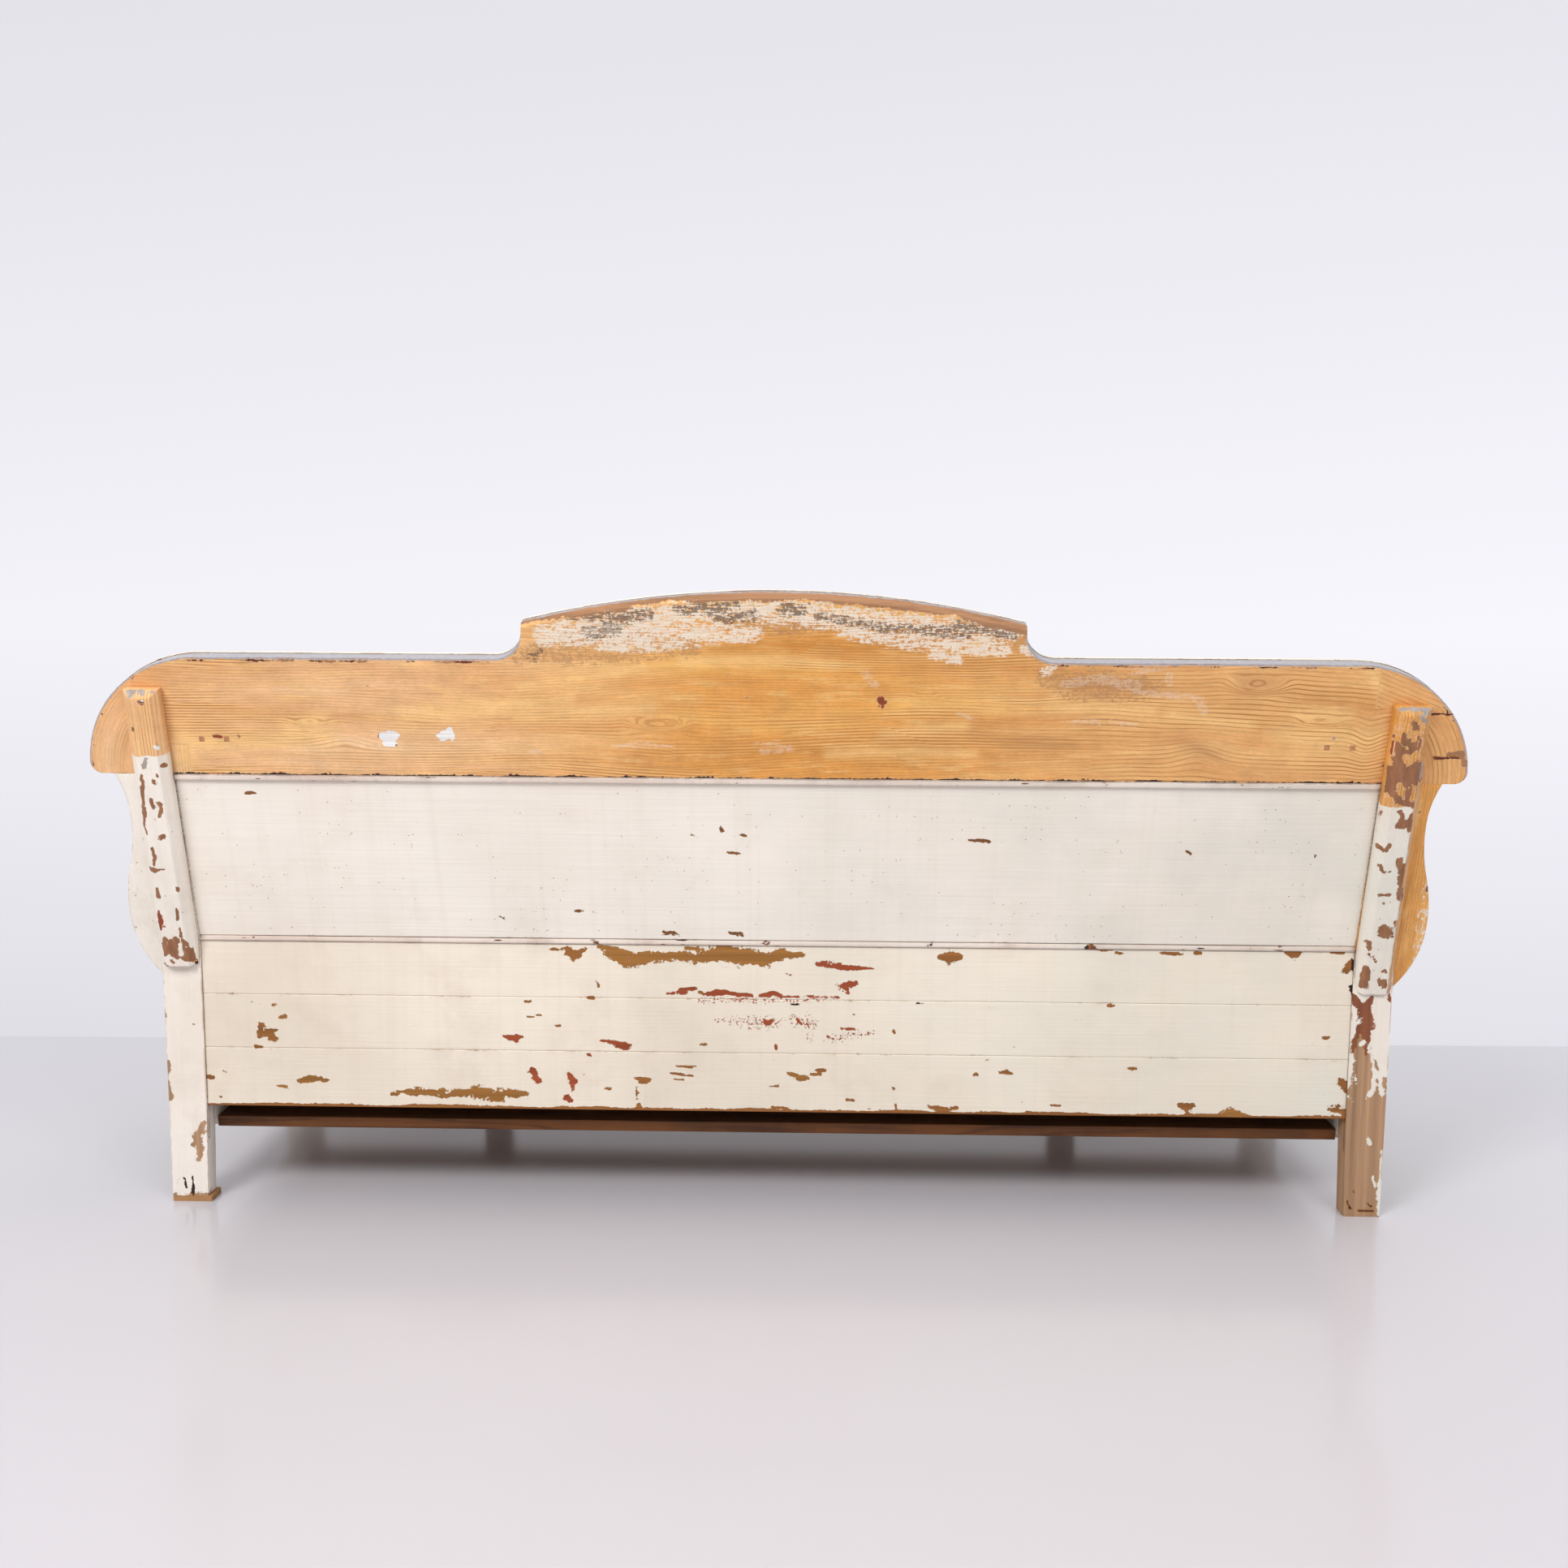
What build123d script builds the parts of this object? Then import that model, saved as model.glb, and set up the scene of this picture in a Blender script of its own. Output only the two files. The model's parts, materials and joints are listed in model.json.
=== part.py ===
from build123d import *

# Swedish pull-out bench bed.
#
# A raked back with a crowned crest board stands on two rear legs. S-curved arms run forward to the front
# posts. The seat is a hinged lid over a bed box, and the panelled front draws forward on its own two legs,
# taking every second bed slat with it, so that the slatted bottom nearly doubles in depth.
#
# Millimetres. +Z is up and the front faces -Y. X = 0 is the middle of the bench, Z = 0 is the floor, and
# Y = 0 is halfway between the nose of the seat and the rearmost point of the crest.
# A depth is a distance forward of the rear legs' back face.
# The upper back is modelled upright and then leaned back about the break.

import os
from math import atan2, cos, degrees, radians, sin

os.makedirs("parts", exist_ok=True)

# Overall
frame_width = 1968          # outer face to outer face of the legs
carcass_depth = 575         # back of the rear legs to the front of the front posts
break_height = 440          # where the upright lower back meets the raked upper back
rake_angle = 15.0           # lean of the upper back, degrees
slide_clearance = 0.4       # height of the running gap under and over the parts that draw out
side_clearance = 3.0        # gap at each end of the lid and of the pull-out front
shaped_gap = 0.3            # gap between two curved faces

# Rear legs and lower back
leg_width = 62
rear_leg_thickness = 33
foot_taper = 4              # a rear leg's inner face comes in by this much at the floor
taper_height = 150
packing_height = 9          # block that levels the worn right-hand rear leg
packing_overhang = 6
board_setback = 4           # the boards' rear face lies this far in front of the legs'
board_thickness = 18
board_feet = (162, 260, 349)   # height of each board's lower edge
board_tongue = 6            # thickness and height of the tongues between the boards
groove_slack = 0.5          # spare depth of a groove beyond its tongue
end_tongue_length = 10
leg_groove_width = 8
leg_groove_foot = 105       # height of the lower end of the groove in the rear legs
seam_chamfer = 1.2
back_rail_height = 40
back_rail_thickness = 35
bead_height = 10
bead_round = 4

# Raked upper back: lengths along the slope are taken from the break
stay_width = 58             # at its foot
stay_thickness = 24
stay_setback = 2            # from the leg's outer face, at its foot
stay_lean = 7               # its inner edge comes in by this much at the top
stay_taper = 12             # and its outer edge by this much
stay_ends_right = (-38, 425)   # foot and top
stay_ends_left = (-66, 412)
stay_chamfer = 11
panel_setback = 2
panel_thickness = 18
panel_tongue = 8
top_bead_height = 10
top_bead_projection = 3

# Crest
crest_overhang = 63         # the ears' reach outside the legs
crest_thickness = 22
crest_foot = 285
crest_shoulder = 472
crest_crown = 572
crown_shoulder = 526        # where the crown's arc ends at the step
crown_half_width = 371
cove_radius = 45
ear_radius = 190
ear_corner = 18
crown_bevel = 6             # worn bevel along the crown's rear edge
moulding_lip = 1            # stands this much above the crest's edge
moulding_foot = 315         # where it ends on the ears
moulding_height = 19
moulding_thickness = 9
moulding_round = 3
moulding_step = 4           # width and depth of the step along its inner edge
nail_head_width = 8.0
nail_head_height = 1.5
nail_width = 3.2
nail_length = 18
nail_places = ((154, 342), (116, 342))   # inside the legs' outer face, and along the slope

# Arms: the S-curve's points are reaches outside the legs
arm_root_height = 370
arm_belly = (43, 108)       # and its height above the root
arm_waist = (14, 35)        # and its height below the arm cap
arm_lip = 30
arm_board_thickness = 20
arm_panel_thickness = 14
arm_panel_inset = 2
arm_cap_drop = 1.3          # top of the cap below the crest's foot
arm_cap_height = 24
arm_cap_width = 50
arm_cap_reach = 26          # outer face of the cap outside the legs
arm_cap_round = 9
arm_nose = 12
post_waist = 29             # a post's inner edge inside the leg's outer face, at the arm's waist
post_neck_top = 33          # and under the arm cap
post_straight = 11          # a post's inner edge is straight up to this far above the seat

# Front posts and ends
post_depth = 55
post_foot_taper = 10
end_panel_foot = 112
end_panel_thickness = 20
end_panel_corner = 20       # cut corner at the foot of the panel's rear edge
side_tongue = 8
end_rail_height = 58
end_rail_thickness = 28

# Bed bottom
rail_top = 131
rear_rail_thickness = 18
rear_rail_depths = (42, 132)
front_rail_thickness = 35
front_rail_width = 35
front_rail_setback = 78     # behind the pull-out's face
slat_thickness = 18
slat_bearing = 20           # a slat's hold on the rear rail
slat_gap = 5.5
slat_count = 25             # fixed and moving slats together, with fixed ones outermost
bearer_depth = 40
slat_housing = 12           # length of a moving slat's end that is let into the bottom rail
stop_height = 26
stop_depth = 15

# Pull-out half
front_thickness = 35
rail_width = 60
stile_width = 60
stile_count = 5
panel_groove = 10           # width and depth of the groove round the panels
panel_slack = 0.5
field_margin = 34
field_rise = 6
field_bevel = 12            # width of the bevel round a raised field
peg_radius = 3.5            # of an eight-sided peg, to its corners
pull_side_thickness = 20
pull_side_top = 414
pull_side_round = 45
pull_leg_reach = 564        # from the middle of the bench to the middle of a leg
pull_leg_width = 56
pull_leg_thickness = 28
pull_leg_taper = 10

# Seat
seat_drop = 3               # underside of the seat below the break
lid_thickness = 22
lid_nose = 15
nose_round = 8
hinge_depth = 88.5
lid_joint_gap = 0.6
lid_seam_depth = 335
cleat_width = 70
cleat_height = 22
cleat_reach = 600
cleat_setback = 21.5        # in front of the hinge
cleat_nose = 15             # behind the back of the pull-out front
ledger_size = 20

# Hinges
hinge_reach = 620
hinge_length = 84
leaf_thickness = 2
leaf_drop = 20
knuckle_radius = 4.5
knuckle_lift = 5            # pin's axis above the top of the seat
knuckle_count = 3
knuckle_gap = 0.3
pin_radius = 2.0
pin_clearance = 0.05
pin_head_radius = 3.4
pin_head_height = 2

# Worked out from the sizes above
rake = radians(rake_angle)
foot_rise = crest_foot * cos(rake)
frame_half = frame_width / 2
inner_half = frame_half - leg_width
crest_half = frame_half + crest_overhang
back_y = (carcass_depth + lid_nose - crest_crown * sin(rake)) / 2
seat_base = break_height - seat_drop
seat_top = seat_base + lid_thickness
post_back = carcass_depth - post_depth
front_back = carcass_depth - front_thickness
running_half = inner_half - side_clearance
board_front = board_setback + board_thickness
pull_top = seat_base - slide_clearance
slide_level = rail_top + slide_clearance
slat_start = rear_rail_depths[1] - slat_bearing
fixed_slat_end = front_back - side_clearance
crest_height = break_height + crest_foot
arm_cap_foot = break_height + foot_rise - arm_cap_drop - arm_cap_height
arm_top = break_height + foot_rise + arm_board_thickness * sin(rake)
belly = (frame_half + arm_belly[0], arm_root_height + arm_belly[1])
waist = (frame_half + arm_waist[0], arm_cap_foot - arm_waist[1])
slat_half = running_half - pull_side_thickness - side_clearance
slat_pitch = (2 * slat_half + slat_gap) / slat_count
tongue_reach = panel_tongue + groove_slack
far = 3000                  # longer than the bench, for cutting


def span(middle, size):
    """Two ends of a length, from its middle."""
    return middle - size / 2, middle + size / 2


def block(x, depth, z):
    """Square-edged piece between two x, two depths and two heights."""
    corner = Pos(x[0], back_y - depth[1], z[0])
    return corner * Box(x[1] - x[0], depth[1] - depth[0], z[1] - z[0], align=(Align.MIN,) * 3)


def bar(section, x):
    """Straight piece along X whose section is a list of (depth, height) corners."""
    corners = [(back_y - depth, height) for depth, height in section]
    start = Plane(origin=(x[0], 0, 0), x_dir=(0, 1, 0), z_dir=(1, 0, 0))
    return extrude(start * make_face(Polyline(*corners, close=True)), amount=x[1] - x[0])


def board(outline, depth):
    """Flat piece that faces front and back, from an outline in X and height."""
    rear = Plane(origin=(0, back_y - depth[0], 0), x_dir=(1, 0, 0), z_dir=(0, -1, 0))
    return extrude(rear * outline, amount=depth[1] - depth[0])


def raked(piece):
    """Leans a piece that was made upright back with the upper back."""
    return piece.rotate(Axis((0, back_y, break_height), (1, 0, 0)), -rake_angle)


def save(name, *pieces):
    """Writes one node, of one solid or of several that share it."""
    solids = [solid for piece in pieces for solid in piece.solids()]
    export_step(solids[0] if len(solids) == 1 else Compound(children=solids), f"parts/{name}.step")


def save_pair(name, piece):
    """Writes a piece of the right-hand end (+X) and its mirror image at the left."""
    save(f"{name}_right", piece)
    save(f"{name}_left", mirror(piece, about=Plane.YZ))


# Raked upper back

def crest_outline():
    """The crest seen square on: crown, coved steps, level shoulders and rounded ears."""
    shoulder = break_height + crest_shoulder
    crown_end = (crown_half_width, break_height + crown_shoulder)
    cove_top = (crown_half_width, shoulder + cove_radius)
    cove_foot = (crown_half_width + cove_radius, shoulder)
    cove_bend = cove_radius * (1 - cos(radians(45)))
    cove_middle = (crown_half_width + cove_bend, shoulder + cove_bend)
    ear_fall = ear_radius - (crest_shoulder - crest_foot)
    ear_start = crest_half - ear_radius
    ear_foot = (ear_start + (ear_radius**2 - ear_fall**2) ** 0.5, crest_height)
    ear_bend = ear_radius * (1 - cos(radians(45)))
    ear_middle = (crest_half - ear_bend, shoulder - ear_bend)
    half = [
        Line(crown_end, cove_top),
        ThreePointArc(cove_top, cove_middle, cove_foot),
        Line(cove_foot, (ear_start, shoulder)),
        ThreePointArc((ear_start, shoulder), ear_middle, ear_foot),
    ]
    crown = ThreePointArc((-crown_end[0], crown_end[1]), (0, break_height + crest_crown), crown_end)
    sole = Line((-ear_foot[0], crest_height), ear_foot)
    face = make_face([crown, sole, *half, *[mirror(edge, about=Plane.YZ) for edge in half]])
    return fillet(face.vertices().group_by(Axis.Y)[0], ear_corner)


def crest_nails():
    """Square-cut nails, sunk flush in the crest's rear face, two towards each end."""
    nails = []
    for inside, rise in nail_places:
        for side in (-1, 1):
            rear = Plane(origin=(side * (frame_half - inside), back_y, break_height + rise), z_dir=(0, -1, 0))
            head = extrude(rear * Rectangle(nail_head_width, nail_head_width), amount=nail_head_height)
            shank = extrude(rear * Rectangle(nail_width, nail_width), amount=nail_length)
            nails.append(raked(head + shank))
    return nails


def panel_tongue_depths():
    """Rear and front face of the raked panel's tongue, which is centred in its thickness."""
    return span(panel_setback + panel_thickness / 2, panel_tongue)


def crest():
    outline = crest_outline()
    nails = crest_nails()
    groove = block((-inner_half - tongue_reach, inner_half + tongue_reach), panel_tongue_depths(),
                   (crest_height, crest_height + tongue_reach))
    crest_board = board(outline, (0, crest_thickness)) - groove
    crown_edge = crest_board.faces().sort_by(Axis.Y)[-1].edges().sort_by(Axis.Z)[-1]
    crest_board = raked(chamfer(crown_edge, crown_bevel))
    for nail in nails:
        crest_board -= nail
    save("crest_board", crest_board)
    save("crest_nails", *nails)


def crest_moulding():
    """Moulding along the crest's front edge: rounded outside, stepped down inside."""
    outline = crest_outline()
    front = crest_thickness + moulding_thickness
    outer = board(offset(outline, moulding_lip), (crest_thickness, front))
    outer = fillet(outer.faces().sort_by(Axis.Y)[0].edges(), moulding_round)
    inner = offset(outline, moulding_lip - moulding_height)
    step = offset(outline, moulding_lip - moulding_height + moulding_step)
    rim = outer - board(inner, (0, far)) - board(step, (front - moulding_step, far))
    save("crest_moulding", raked(rim & block((-far, far), (0, far), (break_height + moulding_foot, far))))


def back_stay(ends):
    """Chamfered post that carries the crest and is let into the back of the rear leg."""
    outer = frame_half - stay_setback
    inner = outer - stay_width
    foot, top = (break_height + end for end in ends)
    outline = Polyline((inner, foot), (inner - stay_lean, top), (outer - stay_taper, top), (outer, foot),
                       close=True)
    stay = board(make_face(outline), (-stay_thickness, 0))
    rear_edges = stay.faces().sort_by(Axis.Y)[-1].edges().sort_by(Axis.Z)
    return raked(chamfer(rear_edges[1:], stay_chamfer))


def both_stays():
    return back_stay(stay_ends_right), mirror(back_stay(stay_ends_left), about=Plane.YZ)


def back_panel():
    """Wide raked panel, tongued into the crest and the arms, with a bead under the crest."""
    face_depths = (panel_setback, panel_setback + panel_thickness)
    body = block((-inner_half, inner_half), face_depths, (0, crest_height))
    tongue = block((-inner_half - panel_tongue, inner_half + panel_tongue), panel_tongue_depths(),
                   (0, crest_height + panel_tongue))
    above_bead = block((-far, far), (-far, far), (seat_base + bead_height, far))
    save("back_panel", raked(body + tongue) & above_bead)

    bead = block((-inner_half, inner_half), (-top_bead_projection, panel_setback),
                 (crest_height - top_bead_height, crest_height))
    lower_rear_edge = bead.faces().sort_by(Axis.Y)[-1].edges().sort_by(Axis.Z)[0]
    bead = raked(fillet(lower_rear_edge, top_bead_projection))
    for stay in both_stays():
        bead -= stay
    save("back_top_bead", bead)


# Lower back

def end_panel_grooves():
    """Space taken by the end panel's tongues, with their slack, in the leg and the post."""
    reach = end_tongue_length + groove_slack
    middle = inner_half + end_panel_thickness / 2
    return block(span(middle, side_tongue), (rear_leg_thickness - reach, post_back + reach),
                 (end_panel_foot, arm_root_height))


def rear_leg(foot, stay_ends):
    """Plank leg, tapered towards the floor, grooved for the boards and housed for the stay."""
    outline = make_face(Polyline((inner_half, break_height), (inner_half, taper_height),
                                 (inner_half + foot_taper, 0), (frame_half, 0), (frame_half, break_height),
                                 close=True))
    leg = board(outline, (0, rear_leg_thickness)) - back_stay(stay_ends) - end_panel_grooves()
    leg -= block((inner_half, inner_half + end_tongue_length + groove_slack),
                 (board_setback, board_setback + leg_groove_width), (leg_groove_foot, break_height))
    return leg & block((-far, far), (-far, far), (foot, far))


def foot_packing():
    """Loose block under the right-hand rear leg."""
    return block((inner_half + foot_taper - packing_overhang, frame_half),
                 (0, rear_leg_thickness + packing_overhang), (0, packing_height))


def lower_boards():
    """Three boards, tongued together and into the legs."""
    tongue_back, tongue_front = span(board_setback + board_thickness / 2, board_tongue)
    tops = (*board_feet[1:], seat_base)
    for number, (low, high) in enumerate(zip(board_feet, tops), start=1):
        lower = [(board_setback, low + seam_chamfer), (board_setback + seam_chamfer, low)]
        if number > 1:
            roof = low + board_tongue + groove_slack
            lower += [(tongue_back, low), (tongue_back, roof), (tongue_front, roof), (tongue_front, low)]
        upper = [(board_front, low), (board_front, high)]
        if number < len(tops):
            ridge = high + board_tongue
            upper += [(tongue_front, high), (tongue_front, ridge), (tongue_back, ridge), (tongue_back, high)]
        upper += [(board_setback + seam_chamfer, high), (board_setback, high - seam_chamfer)]
        reach = inner_half + end_tongue_length
        ends = block((-reach, reach), (board_setback + seam_chamfer, tongue_back), (low, high))
        planed = bar(lower + upper, (-inner_half, inner_half)) + ends
        for stay in both_stays():
            planed -= stay
        save(f"lower_back_board_{number}", planed)


def seat_level_rails():
    """Rail behind the seat, and the bead on the boards' top edge that the raked panel stands on."""
    save("back_rail", block((-inner_half, inner_half), (board_front, board_front + back_rail_thickness),
                            (seat_base - back_rail_height, seat_base)))
    bead = block((-inner_half, inner_half), (0, board_front), (seat_base, seat_base + bead_height))
    rear_edges = bead.faces().sort_by(Axis.Y)[-1].edges().filter_by(Axis.X)
    save("back_middle_bead", fillet(rear_edges, bead_round))


# Arms and ends

def inside_arm(inner_x, inset=0.0):
    """Area between an upright inner edge and the S-curve: belly, waist and lip."""
    root = (frame_half - inset, arm_root_height)
    lip = (frame_half - inset + arm_lip, arm_top)
    out = (belly[0] - inset, belly[1])
    back = (waist[0] - inset, waist[1])
    bend = ((out[0] + back[0]) / 2, (out[1] + back[1]) / 2)
    curve = [
        TangentArc(out, root, tangent=(0, -1)),
        TangentArc(out, bend, tangent=(0, 1)),
        TangentArc(back, bend, tangent=(0, -1)),
        TangentArc(back, lip, tangent=(0, 1)),
    ]
    inner = Polyline(lip, (inner_x, arm_top), (inner_x, arm_root_height), root)
    return make_face([*curve, *inner.edges()])


def in_front_of_arm_board():
    """Everything in front of the raked arm boards."""
    return raked(block((0, far), (arm_board_thickness, far), (-far, far)))


def over_rear_leg():
    return block((0, frame_half), (-far, rear_leg_thickness), (0, break_height))


def arm_back_board():
    """S-profiled board that closes the rear of the arm and stands on the rear leg."""
    slab = raked(block((0, far), (0, arm_board_thickness), (-far, crest_height)))
    panel_groove_space = raked(block((0, inner_half + tongue_reach), panel_tongue_depths(), (0, far)))
    return (board(inside_arm(inner_half), (-far, far)) & slab) - over_rear_leg() - panel_groove_space


def arm_panel():
    """Curved skin of the arm, from the raked board to the front post."""
    skin_inner = arm_panel_inset + arm_panel_thickness
    skin = board(inside_arm(inner_half, arm_panel_inset), (-far, post_back))
    skin -= board(inside_arm(0, skin_inner), (-far, far))
    skin &= block((0, far), (-far, far), (arm_root_height, arm_cap_foot))
    return (skin & in_front_of_arm_board()) - over_rear_leg()


def side_rail():
    """Rail between rear leg and front post, shaped outside to the arm's skin and flush with the seat."""
    inset = arm_panel_inset + arm_panel_thickness + shaped_gap
    rail = board(inside_arm(inner_half, inset), (-far, post_back))
    rail &= block((0, far), (-far, far), (arm_root_height, seat_top))
    return (rail & in_front_of_arm_board()) - over_rear_leg()


def front_post():
    """Square leg below; above the seat an S-shaped arm front, cut in on its inner side."""
    leg = make_face(Polyline((inner_half, arm_cap_foot), (inner_half, taper_height),
                             (inner_half + post_foot_taper, 0), (frame_half, 0), (frame_half, arm_cap_foot),
                             close=True))
    depths = (post_back, carcass_depth)
    post = board(leg, depths) + board(inside_arm(inner_half), depths)
    neck_waist = (frame_half - post_waist, waist[1])
    neck_foot = (inner_half, seat_top + post_straight)
    neck_top = (frame_half - post_neck_top, arm_cap_foot)
    lower_neck = TangentArc(neck_waist, neck_foot, tangent=(0, -1))
    upper_neck = TangentArc(neck_waist, neck_top, tangent=(0, 1))
    relief = Polyline(neck_top, (inner_half - side_clearance, arm_cap_foot),
                      (inner_half - side_clearance, neck_foot[1]), neck_foot)
    post -= board(make_face([lower_neck, upper_neck, *relief.edges()]), (0, far))
    return (post & block((0, far), (0, far), (0, arm_cap_foot))) - end_panel_grooves()


def arm_cap():
    """Rounded armrest on the skin and the post, butted against the raked board."""
    outer = frame_half + arm_cap_reach
    cap = block((outer - arm_cap_width, outer), (-far, carcass_depth + arm_nose),
                (arm_cap_foot, arm_cap_foot + arm_cap_height))
    cap = fillet(cap.faces().sort_by(Axis.Y)[0].edges().filter_by(Axis.Z), arm_cap_round)
    top_edges = cap.faces().sort_by(Axis.Z)[-1].edges() - cap.faces().sort_by(Axis.Y)[-1].edges()
    return fillet(top_edges, arm_cap_round) & in_front_of_arm_board()


def end_panel():
    """Lower end panel, tongued into leg and post, with a cut corner at the rear."""
    x = (inner_half, inner_half + end_panel_thickness)
    panel = block(x, (rear_leg_thickness, post_back), (end_panel_foot, arm_root_height))
    middle = inner_half + end_panel_thickness / 2
    panel += block(span(middle, side_tongue),
                   (rear_leg_thickness - end_tongue_length, post_back + end_tongue_length),
                   (end_panel_foot + end_panel_corner, arm_root_height))
    cut = [(rear_leg_thickness, end_panel_foot), (rear_leg_thickness, end_panel_foot + end_panel_corner),
           (rear_leg_thickness + end_panel_corner, end_panel_foot)]
    return panel - bar(cut, x)


def ends():
    right_stay, left_stay = both_stays()
    save("back_stay_right", right_stay)
    save("back_stay_left", left_stay)
    save("rear_leg_right", rear_leg(packing_height, stay_ends_right))
    save("rear_leg_left", mirror(rear_leg(0, stay_ends_left), about=Plane.YZ))
    save("foot_packing", foot_packing())
    save_pair("arm_back_board", arm_back_board())
    save_pair("arm_panel", arm_panel())
    save_pair("arm_cap", arm_cap())
    save_pair("side_rail", side_rail())
    save_pair("front_post", front_post())
    save_pair("end_panel", end_panel())
    rail_x = inner_half + end_panel_thickness
    save_pair("end_rail", block((rail_x, rail_x + end_rail_thickness), (rear_leg_thickness, post_back),
                                (end_panel_foot, end_panel_foot + end_rail_height)))
    save_pair("seat_ledger", block((inner_half - ledger_size, inner_half),
                                   (board_front + back_rail_thickness, post_back),
                                   (seat_base - ledger_size, seat_base)))


# Bed bottom

def slat_span(index):
    """Two sides of a slat, counted from the left."""
    left = -slat_half + index * slat_pitch
    return left, left + slat_pitch - slat_gap


def bed_bottom():
    """Rails across the frame with the fixed slats, and the moving slats between them."""
    across = (-inner_half, inner_half)
    save("rear_slat_rail", block(across, rear_rail_depths, (rail_top - rear_rail_thickness, rail_top)))
    front_rail_face = carcass_depth - front_rail_setback
    save("front_slat_rail", block(across, (front_rail_face - front_rail_width, front_rail_face),
                                  (rail_top - front_rail_thickness, rail_top)))
    slat_top = rail_top + slat_thickness
    fixed = [block(slat_span(index), (slat_start, fixed_slat_end), (rail_top, slat_top))
             for index in range(0, slat_count, 2)]
    save("fixed_slats", *fixed)
    stops = [block(slat_span(index), (fixed_slat_end - stop_depth, fixed_slat_end),
                   (slat_top, slat_top + stop_height)) for index in (0, slat_count - 1)]
    save("slat_stops", *stops)
    save("moving_slats", *moving_slats())
    bearer_foot = slat_top + slide_clearance
    bearer_half = running_half - pull_side_thickness
    save("slat_bearer", block((-bearer_half, bearer_half), (slat_start, slat_start + bearer_depth),
                              (bearer_foot, bearer_foot + slat_thickness)))


def moving_slats():
    """Slats that draw out, with their front ends let into the pull-out's bottom rail."""
    return [block(slat_span(index), (slat_start, front_back + slat_housing),
                  (slide_level, slide_level + slat_thickness)) for index in range(1, slat_count, 2)]


# Pull-out half

def stile_middles():
    spread = running_half - stile_width / 2
    return [-spread + 2 * spread * index / (stile_count - 1) for index in range(stile_count)]


def pull_front():
    """Framed front: two rails and five stiles, grooved for four raised panels and pegged together."""
    depths = (front_back, carcass_depth)
    groove_depths = span(front_back + front_thickness / 2, panel_groove)
    reach = panel_groove - panel_slack
    rail_end = running_half - stile_width
    low, low_edge = slide_level, slide_level + rail_width
    high, high_edge = pull_top, pull_top - rail_width

    def peg(x, z):
        front = Plane(origin=(x, back_y - carcass_depth, z), z_dir=(0, 1, 0))
        return extrude(front * RegularPolygon(peg_radius, 8), amount=carcass_depth - groove_depths[0])

    pegs = [peg(side * (rail_end + reach / 2), height)
            for side in (-1, 1)
            for height in (low + rail_width / 5, low_edge - 2 * panel_groove,
                           high_edge + 2 * panel_groove, high - rail_width / 5)]
    middles = stile_middles()
    pegs += [peg(x, height) for x in middles[1:-1]
             for height in (low_edge - reach / 2, high_edge + reach / 2)]
    save("pull_pegs", *pegs)

    rails = {"pull_bottom_rail": ((low, low_edge), low_edge - panel_groove, low_edge),
             "pull_top_rail": ((high_edge, high), high_edge, high_edge + panel_groove)}
    for name, (heights, groove_foot, groove_top) in rails.items():
        rail = block((-rail_end, rail_end), depths, heights)
        rail += block((-rail_end - reach, rail_end + reach), groove_depths, heights)
        rail -= block((-far, far), groove_depths, (groove_foot, groove_top))
        for other in [*pegs, *moving_slats(), *pull_legs()]:
            rail -= other
        save(name, rail)

    for number, middle in enumerate(middles, start=1):
        left, right = span(middle, stile_width)
        if number in (1, stile_count):
            stile = block((left, right), depths, (low, high))
            edges = (right,) if number == 1 else (left,)
        else:
            stile = block((left, right), depths, (low_edge, high_edge))
            stile += block((left, right), groove_depths, (low_edge - reach, high_edge + reach))
            edges = (left, right)
        for edge in edges:
            stile -= block(span(edge, 2 * panel_groove), groove_depths, (0, far))
        for other in pegs:
            stile -= other
        save(f"pull_stile_{number}", stile)

    heights = (low_edge, high_edge)
    for number, (before, after) in enumerate(zip(middles, middles[1:]), start=1):
        opening = (before + stile_width / 2, after - stile_width / 2)
        panel = block((opening[0] - reach, opening[1] + reach), groove_depths,
                      (heights[0] - reach, heights[1] + reach))
        rim = 2 * (field_margin - field_bevel)
        front = Plane(origin=(sum(opening) / 2, back_y - groove_depths[1], sum(heights) / 2),
                      x_dir=(1, 0, 0), z_dir=(0, -1, 0))
        field = front * Rectangle(opening[1] - opening[0] - rim, heights[1] - heights[0] - rim)
        bevel = degrees(atan2(field_bevel, field_rise))
        save(f"pull_panel_{number}", panel + extrude(field, amount=field_rise, taper=bevel))


def pull_legs():
    """Two plank legs, tapered towards the floor and tenoned up into the bottom rail."""
    half = pull_leg_width / 2
    leg = []
    for middle in (-pull_leg_reach, pull_leg_reach):
        foot = half - pull_leg_taper / 2
        outline = Polyline((middle - foot, 0), (middle + foot, 0), (middle + half, slide_level),
                           (middle - half, slide_level), close=True)
        plank = board(make_face(outline), (front_back, front_back + pull_leg_thickness))
        tenon_depths = span(front_back + front_thickness / 2, panel_groove)
        tenon = block(span(middle, pull_leg_width - 2 * pull_leg_taper), tenon_depths,
                      (slide_level, slide_level + rail_width / 2))
        leg.append(plank + tenon)
    return leg


def pull_carriage():
    """Sides of the pull-out half, with a rounded upper rear corner, and its legs."""
    side = block((running_half - pull_side_thickness, running_half), (slat_start, front_back),
                 (slide_level, pull_side_top))
    corner = side.edges().filter_by(Axis.X).group_by(Axis.Z)[-1].sort_by(Axis.Y)[-1]
    save_pair("pull_side", fillet(corner, pull_side_round))
    left, right = pull_legs()
    save("pull_leg_left", left)
    save("pull_leg_right", right)


# Seat and hinges

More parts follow.
